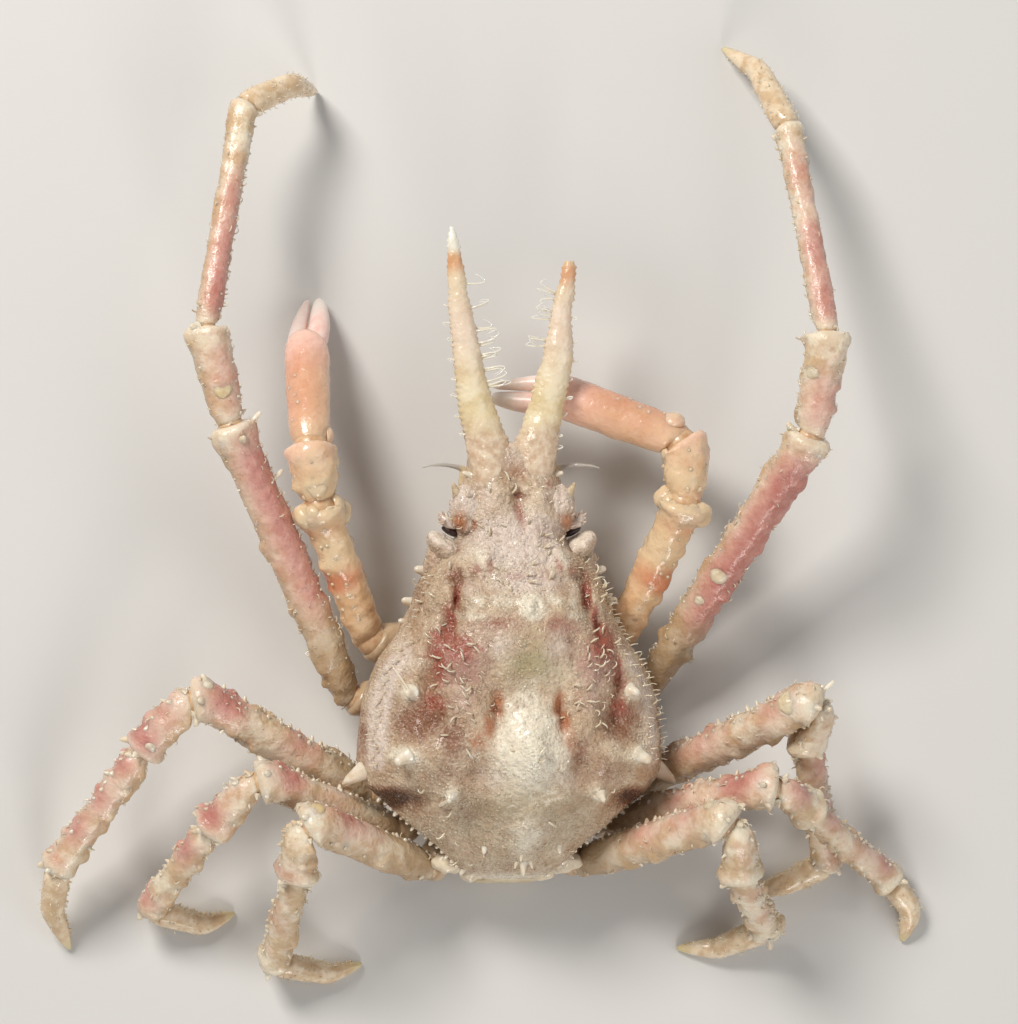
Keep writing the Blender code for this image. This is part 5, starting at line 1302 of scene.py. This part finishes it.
for side_name, side in SIDES:
    corners, bends = rounded(joints_of("leg1", side_name, side), BEND["leg1"])
    up = np.array((0.0, 0.0, 1.0))
    hip = Tube(corners, bends, 0, 1, up, side, ((0, 1), (1, 1)), HIP_RADIUS["leg1"])
    thorax_parts.append((hip.rings(LEG_SIDES, knobbly(0.05, 0.05, 3)), {}))
    up = hip.up[-1]
    angles = np.arange(LEG_SIDES) * 2 * math.pi / LEG_SIDES
    for k, article in enumerate(ARM):
        tube = Tube(corners, bends, k + 1, k + 2, up, side, ARM[article], 1)
        up = tube.up[-1]
        tubes["leg1_" + side_name, article] = tube
        if article == "palm":
            tube.planes[-1] = (*tube.planes[-1][:2], 0.0, PALM_END)
        rough, lobes, nodules = ARM_SKIN[article]
        rings = tube.rings(LEG_SIDES, knobbly(rough, lobes, 40 + k, nodules))
        cream, pink, orange = (
            sum(amount * bell((tube.places[:, None] - place) / half)
                for place, half, amount in table[article])
            for table in (ARM_CREAM, ARM_PINK, ARM_ORANGE))
        far_side = np.clip(0.5 - 0.5 * np.cos(angles), 0, 1)[None]
        marks = {"cream": cream, "pink": pink * (0.6 + 0.6 * far_side) + 0.35 * (article == "palm"),
                 "deep": orange * (0.3 + 0.8 * far_side)}
        parts = [(rings, marks)]
        name = "arm_" + article + "_" + side_name
        for place, angle, size in ARM_KNOBS[name]:
            tall = 0.8 if article == "palm" else 0.65
            parts.append((knot_on(tube, place, angle, size, k, tall),
                          {"cream": 0.9 if article != "palm" else 0.35, "pink": 0.5}))
        if article == "merus":
            for angle, size, tall in ((28, 0.75, 0.7), (152, 0.75, 0.7), (184, 0.85, 1.1), (-4, 0.95, 1.15)):
                place = 0.96 if abs(angle) > 10 or side < 0 else 0.89
                parts.append((knot_on(tube, place, angle, size, 5 + k, tall), {"cream": 0.9, "pink": 0.3}))
        if article == "palm":
            parts += [(part, {"pink": 0.6, "cream": 0.3}) for part in
                      grown(tube, 5 + k, ((165, 1.0),), 0.08, 0.22, 0.0, 0.8, (0.15, 0.55), 0.6)]
        else:
            parts += [(part, {"cream": 1.0}) for part in
                      grown(tube, 5 + k, ((172, 1.0), (130, 0.4), (15, 0.5)), 0.15, 0.18, 0.1, 0.8,
                            (0.2, 0.98), 0.45)]
        if article == "palm":
            start, way, tip = tube.points[-2], tube.ways[-1], corners[-1]
            inward = unit(np.cross(way, (0, 0, 1))) * side
            reach = np.linspace(0, 1, 40)[:, None]
            bow = inward * 0.1 * np.sin(reach * math.pi)
            shape = ((0, 1.0), (0.2, 1.05), (0.4, 1.0), (0.6, 0.84), (0.8, 0.62), (0.94, 0.4), (1, 0.1))
            first, last = start - inward * FINGER_SPREAD - way * 1.2, tip - inward * FINGER_TIP_SPREAD
            line = first + (last - first) * reach - bow
            fixed = [(tapered(line, FIXED_RADIUS * along(shape, reach[:, 0]), 20), {"tip": 0.5})]
            for place in np.linspace(0.42, 0.88, 10):
                spot = first + (last - first) * place + inward * 0.34 * (1.15 - place)
                fixed.append((thorn(spot, inward, 0.12, 0.12, (0, 0, 0), 8, 0.5), {"tip": 1.0}))
            prong = skin("fixed_finger_" + side_name, fixed, finger_skin)
            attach(prong, "root")
        piece = skin(name, parts, arm)
        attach(piece, "root")
        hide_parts("_".join(("leg1", article, side_name)))

    first, last = start + inward * FINGER_SPREAD - way * 0.6, tip + inward * FINGER_TIP_SPREAD
    shape = ((0, 0.8), (0.05, 0.95), (0.12, 1.02), (0.33, 1.02), (0.5, 0.97), (0.67, 0.87), (0.84, 0.7),
             (0.93, 0.55), (0.98, 0.36), (1, 0.1))
    line = first + (last - first) * reach + bow
    parts = [(tapered(line, FINGER_RADIUS * along(shape, reach[:, 0]), 28),
              {"tip": np.clip((reach - 0.35) / 0.4, 0, 1) * 0.9})]
    for place in np.linspace(0.3, 0.88, 11):
        spot = first + (last - first) * place - inward * 0.52 * (1.15 - place)
        parts.append((thorn(spot, -inward, 0.13, 0.13, (0, 0, 0), 8, 0.5), {"tip": 0.5}))
    finger = skin("finger_" + side_name, parts, finger_skin)
    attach(finger, "root")
    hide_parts("leg1_finger_" + side_name)

# Lumps of the last pair of hips, which show behind the rear margin.
for _, side in SIDES:
    for centre, half in (((3.7, 27.3, 4.9), (1.25, 0.7, 0.8)), ((2.3, 27.9, 4.6), (0.9, 0.6, 0.7))):
        thorax_parts.append((blob(np.array((side, 1, 1)) * centre, half, 26, 30, int(10 * half[0]), 0.16),
                             {"pale": 1.0}))
thorax = skin("thorax_skin", thorax_parts, plate)
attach(thorax, "root")
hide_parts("thorax")

# Skin folds of the joints
# At every joint of a leg the two shells are tied by a soft, pale fold of skin, which shows as a
# narrow ring between their rims.

fold = Finish("joint_skin", Subsurface_Weight=0.3, Subsurface_Scale=0.0006, Roughness=0.35, Coat_Weight=0.3,
              Coat_Roughness=0.1)
fold.set(Base_Color=fold.mix(fold.noise(0.4).between(0.35, 0.65), paint(206, 160, 120), paint(222, 188, 148)))
fold.relief(fold.noise(0.15), 0.03, 0.6)
folds = []
for (leg, article), tube in tubes.items():
    k = 0
    ring_turns = np.linspace(0.05, math.pi - 0.05, 14)
    point, way, out, rise = tube.points[k], tube.ways[k], tube.front[k], tube.up[k]
    size, long = (1.12, 1.0) if leg.startswith("leg1") else (tube.radius[k] * 0.9, 0.7)
    angles = np.arange(24) * 2 * math.pi / 24
    ball = [point - way * size * long * math.cos(turn) + size * math.sin(turn)
            * (np.outer(np.cos(angles), out) + np.outer(np.sin(angles), rise)) for turn in ring_turns]
    folds.append((np.array(ball), {}))
joint_skin = skin("joint_skins", folds, fold)
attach(joint_skin, "root")

# Granules and hooked hairs
# The shell is sown with fine grains, and with short white hairs whose tips curl over like hooks, on which
# the live crab hangs its weed. Both stand in the shell and take its colours where they grow.


def flow():
    """A node tree that stands copies of a template over the pieces of a collection, with its own inputs."""
    tree = bpy.data.node_groups.new("stand_over", "GeometryNodeTree")
    tree.interface.new_socket("Geometry", in_out="OUTPUT", socket_type="NodeSocketGeometry")
    for name, kind in (("Pieces", "Collection"), ("Template", "Object"), ("Mark", "String"),
                       ("Apart", "Float"), ("Smallest", "Float"), ("Largest", "Float"), ("Sunk", "Float"),
                       ("Lean", "Float"), ("Tousled", "Float"), ("Seed", "Int"), ("Finish", "Material")):
        tree.interface.new_socket(name, in_out="INPUT", socket_type="NodeSocket" + kind)
    given = tree.nodes.new("NodeGroupInput").outputs

    def node(kind, settings, inputs, output=0):
        made = tree.nodes.new(kind)
        for name, value in settings.items():
            setattr(made, name, value)
        for name, value in inputs.items():
            if isinstance(value, bpy.types.NodeSocket):
                tree.links.new(value, made.inputs[name])
            else:
                made.inputs[name].default_value = value
        return made.outputs[output]

    def mark(name, kind="FLOAT"):
        return node("GeometryNodeInputNamedAttribute", {"data_type": kind}, {"Name": name})

    def vector(operation, first, second, **more):
        return node("ShaderNodeVectorMath", {"operation": operation}, {0: first, 1: second, **more})

    skins = node("GeometryNodeCollectionInfo", {}, {"Collection": given["Pieces"]})
    skins = node("GeometryNodeRealizeInstances", {}, {"Geometry": skins})
    spread = {"Mesh": skins, "Distance Min": given["Apart"], "Density Max": 1e9, "Seed": given["Seed"],
              "Density Factor": mark(given["Mark"])}
    points = node("GeometryNodeDistributePointsOnFaces", {"distribute_method": "POISSON"}, spread)
    normal = points.node.outputs["Normal"]
    messy = node("FunctionNodeRandomValue", {"data_type": "FLOAT_VECTOR"},
                 {"Min": (-1, -1, -1), "Max": (1, 1, 1), "Seed": given["Seed"]})
    messy = node("ShaderNodeVectorMath", {"operation": "SCALE"}, {0: messy, "Scale": given["Tousled"]})
    lie = mark("lie", "FLOAT_VECTOR")
    lean = node("ShaderNodeVectorMath", {"operation": "SCALE"}, {0: lie, "Scale": given["Lean"]})
    way = vector("ADD", vector("ADD", normal, lean), messy)
    turn = node("FunctionNodeAlignRotationToVector", {"axis": "Z"}, {"Vector": way})
    turn = node("FunctionNodeAlignRotationToVector", {"axis": "X", "pivot_axis": "Z"},
                {"Rotation": turn, "Vector": vector("ADD", lie, vector("ADD", messy, messy))})
    size = node("FunctionNodeRandomValue", {"data_type": "FLOAT"},
                {2: given["Smallest"], 3: given["Largest"], "Seed": given["Seed"]}, 1)
    sunk = node("ShaderNodeMath", {"operation": "MULTIPLY"}, {0: given["Sunk"], 1: -1.0})
    sunk = node("ShaderNodeMath", {"operation": "MULTIPLY"}, {0: sunk, 1: size})
    sunk = node("ShaderNodeVectorMath", {"operation": "SCALE"}, {0: normal, "Scale": sunk})
    points = node("GeometryNodeSetPosition", {}, {"Geometry": points, "Offset": sunk})
    copy = node("GeometryNodeObjectInfo", {}, {"Object": given["Template"], "As Instance": True}, "Geometry")
    copies = node("GeometryNodeInstanceOnPoints", {},
                  {"Points": points, "Instance": copy, "Rotation": turn, "Scale": size})
    copies = node("GeometryNodeRealizeInstances", {}, {"Geometry": copies})
    patch = node("ShaderNodeVectorMath", {"operation": "SCALE"},
                 {0: mark("patch", "FLOAT_VECTOR"), "Scale": 0.003})
    place = vector("ADD", mark("unwrap", "FLOAT_VECTOR"), patch)
    copies = node("GeometryNodeStoreNamedAttribute", {"data_type": "FLOAT2", "domain": "CORNER"},
                  {"Geometry": copies, "Name": "OFBake", "Value": place})
    copies = node("GeometryNodeSetMaterial", {}, {"Geometry": copies, "Material": given["Finish"]})
    tree.links.new(copies, tree.nodes.new("NodeGroupOutput").inputs[0])
    return tree


def sown(name, pieces, template, finish, **values):
    """A plain mesh of copies of the template over the pieces."""
    group = bpy.data.collections.new(name)
    for piece in pieces:
        group.objects.link(piece)
    made = bpy.data.objects.new(name, bpy.data.meshes.new(name))
    bpy.context.collection.objects.link(made)
    modifier = made.modifiers.new("stand_over", "NODES")
    modifier.node_group = standing
    names = {item.name: item.identifier for item in standing.interface.items_tree if item.in_out == "INPUT"}
    values = {"Pieces": group, "Template": template, "Finish": finish.material, **values}
    for key, value in values.items():
        modifier[names[key.capitalize()]] = value
    bpy.context.view_layer.update()
    seen = made.evaluated_get(bpy.context.evaluated_depsgraph_get())
    mesh = bpy.data.meshes.new_from_object(seen)
    made.modifiers.clear()
    made.data = mesh
    mesh.name = name
    mesh.shade_smooth()
    bpy.data.collections.remove(group)
    return made


def template(name, path, radii, sides):
    """A small shape in units of 1, drawn along a path, with the patch of its texture."""
    rings = tapered(path, radii, sides, up=(0.0, 1.0, 0.0))
    rows = np.linspace(0, 1, len(rings))
    turn = np.arange(sides) / sides
    patch = np.stack(np.broadcast_arrays(turn[None], rows[:, None], 0.0), axis=-1)
    shift = np.array((*BOX_CENTRE, 0))
    lift = np.array((0, 0, 1.0))
    made = skin(name, [(rings + lift + shift, {"tip": rows[:, None], "patch": patch})], shell)
    points = np.empty(len(made.data.vertices) * 3)
    made.data.vertices.foreach_get("co", points)
    points = points.reshape(-1, 3) / MM - lift
    made.data.vertices.foreach_set("co", points.ravel())
    return made


def bake_map(piece):
    """Gives hairs made ring by ring the same texture map as the sown ones."""
    mesh = piece.data
    marks = np.empty(len(mesh.vertices) * 3, np.float32)
    mesh.attributes["unwrap"].data.foreach_get("vector", marks)
    corner = np.empty(len(mesh.loops), np.int32)
    mesh.loops.foreach_get("vertex_index", corner)
    mesh.uv_layers.new(name="OFBake").data.foreach_set("uv", marks.reshape(-1, 3)[corner, :2].ravel())


GRAIN_APART, GRAIN_SMALLEST, GRAIN_LARGEST = 0.23, 0.05, 0.13     # radius
LEG_GRAIN_APART, LEG_GRAIN_SMALLEST, LEG_GRAIN_LARGEST = 0.2, 0.035, 0.085
HOOK_APART, HOOK_SHORTEST, HOOK_LONGEST = 0.42, 0.35, 0.85
standing = flow()
grain = template("grain", ((0, 0, -0.45), (0, 0, 0.0), (0, 0, 0.32), (0, 0, 0.5)), (1.0, 1.0, 0.7, 0.2), 6)
hook = template("hook", ((0, 0, -0.12), (0, 0, 0.2), (0.05, 0, 0.42), (0.2, 0, 0.6), (0.4, 0, 0.64),
                         (0.56, 0, 0.54)),
                (0.11, 0.095, 0.08, 0.07, 0.05, 0.02), 5)
seta = Finish("hooked_hair", Subsurface_Weight=0.2, Subsurface_Scale=0.0003, Roughness=0.25, Coat_Weight=0.5,
              Coat_Roughness=0.08)
seta.set(Base_Color=seta.mix(seta.mark("tip"), paint(206, 186, 150), paint(244, 236, 216)))
# Rows of hooks on the shield: side, first and last v, how many, inset from the edge and length.
HOOK_ROWS = ((1, 12.9, 20.6, 21, 0.95, 0.52), (-1, 8.8, 20.4, 30, 0.3, 0.42), (1, 8.6, 12.4, 8, 0.5, 0.4),
             (-1, 13.0, 20.4, 12, 1.1, 0.35))
random = np.random.default_rng(12)
hooks = []
for side, first, last, count, inset, length in HOOK_ROWS:
    for v in np.linspace(first, last, count) + random.uniform(-0.06, 0.06, count):
        u = side * (float(along(HALF_WIDTH, v)) - inset * random.uniform(0.8, 1.2))
        root, out = shell_spot(u, v)
        size = length * random.uniform(0.75, 1.2)
        t = np.linspace(0, 1, 9)[:, None]
        beside = unit(np.array((side, random.uniform(-0.5, 0.3), 0.0)))
        path = root - out * 0.05 + size * (out * (1.2 * t - 0.9 * t * t) + beside * (0.3 * t + 0.7 * t * t))
        place = np.array((0.5 + 0.45 * u / 10, v / SHELL_LENGTH, 0.0)) + 0.003 * np.stack(
            np.broadcast_arrays(np.arange(6)[None] / 6, t, 0.0), axis=-1)
        hooks.append((tapered(path, 0.055 * (1 - 0.7 * t[:, 0]), 6), {"tip": t, "unwrap": place}))
hook_rows = skin("hook_rows", hooks, seta)
for piece in (hook_rows, rostral_hairs):
    bake_map(piece)
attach(hook_rows, "root")
coats = [sown(name, pieces, grain, shell, mark="cover", apart=GRAIN_APART * MM, sunk=0.0,
              smallest=GRAIN_SMALLEST * MM, largest=GRAIN_LARGEST * MM, lean=0.0, tousled=0.15, seed=3)
         for name, pieces in (("grains_carapace", [carapace]), ("grains_head", eaves))]
coats.append(sown("hooks_carapace", [carapace, *eaves], hook, seta, mark="bristle", apart=HOOK_APART * MM,
                  sunk=0.05, smallest=HOOK_SHORTEST * MM, largest=HOOK_LONGEST * MM, lean=0.35,
                  tousled=0.45, seed=5))
for coat in coats:
    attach(coat, "root")
for number, (leg, pieces) in enumerate(leg_pieces.items()):
    coat = sown("grains_" + leg, pieces, grain, leg_shell, mark="cover", apart=LEG_GRAIN_APART * MM, sunk=0.0,
                smallest=LEG_GRAIN_SMALLEST * MM, largest=LEG_GRAIN_LARGEST * MM, lean=0.0, tousled=0.15,
                seed=20 + number)
    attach(coat, "root")
    coat = sown("hooks_" + leg, pieces, hook, seta, mark="bristle", apart=0.45 * MM, sunk=0.05,
                smallest=0.25 * MM, largest=0.6 * MM, lean=0.5, tousled=0.5, seed=40 + number)
    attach(coat, "root")
    for kind, template_shape, finish, mark, apart, small, large in (
            ("grains_", grain, claw_shell, "cover", 0.3, 0.05, 0.11),
            ("hooks_", hook, seta, "bristle", 0.4, 0.2, 0.4)):
        coat = sown(kind + leg + "_claw", [claws[leg]], template_shape, finish, mark=mark, apart=apart * MM,
                    sunk=0.02, smallest=small * MM, largest=large * MM, lean=0.2, tousled=0.3,
                    seed=60 + number)
        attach(coat, "root")
for shape in (grain, hook):
    bpy.data.objects.remove(shape)

# Studio
# A plain pale floor, soft lights and a camera straight above the animal, as the photograph was taken.

CAMERA_HEIGHT = 0.300
PHOTO_HEIGHT = 0.06769                      # what the photograph's height covers at the floor
floor_mesh = bpy.data.meshes.new("floor")
FLOOR_HALF = 2.0
floor_mesh.from_pydata([(x * FLOOR_HALF, y * FLOOR_HALF, 0) for x, y in ((-1, -1), (1, -1), (1, 1), (-1, 1))],
                       [], [(0, 1, 2, 3)])
floor = bpy.data.objects.new("floor", floor_mesh)
bpy.context.collection.objects.link(floor)
floor_finish = Finish("pale_floor", Roughness=0.55)
floor_finish.set(Base_Color=floor_finish.mix(floor_finish.noise(40, 2.0) * 0.25, paint(216, 214, 210),
                                             paint(208, 206, 203)))
floor_mesh.materials.append(floor_finish.material)

camera_data = bpy.data.cameras.new("camera")
camera_data.lens = camera_data.sensor_width * CAMERA_HEIGHT / PHOTO_HEIGHT
camera_data.clip_start, camera_data.clip_end = 0.01, 10
camera = bpy.data.objects.new("camera", camera_data)
camera.location = (-BOX_CENTRE[0] * MM, -BOX_CENTRE[1] * MM, CAMERA_HEIGHT)
camera.rotation_euler = (0, 0, math.pi)
bpy.context.collection.objects.link(camera)
bpy.context.scene.camera = camera

# Lights: where each stands and how large it is, in metres, its strength in watts and its colour.
LIGHTS = (
    ("key", (0.17, -0.24, 0.30), 0.13, 1.6, (1.0, 0.97, 0.93)),
    ("fill", (-0.30, 0.10, 0.30), 0.35, 0.42, (0.96, 0.98, 1.0)),
    ("back", (-0.06, 0.35, 0.20), 0.12, 0.5, (1.0, 0.96, 0.92)),
)
for name, place, size, watts, colour in LIGHTS:
    light = bpy.data.lights.new(name, "AREA")
    light.size = size
    light.energy = watts
    light.color = colour
    lamp = bpy.data.objects.new(name, light)
    lamp.location = place
    lamp.rotation_euler = (-Vector(place)).to_track_quat("-Z", "Y").to_euler()
    bpy.context.collection.objects.link(lamp)
world = bpy.data.worlds.new("studio")
world.use_nodes = True
world.node_tree.nodes["Background"].inputs["Color"].default_value = (0.97, 0.98, 1.0, 1)
world.node_tree.nodes["Background"].inputs["Strength"].default_value = 0.185
bpy.context.scene.world = world
bpy.context.scene.view_settings.view_transform = "Standard"
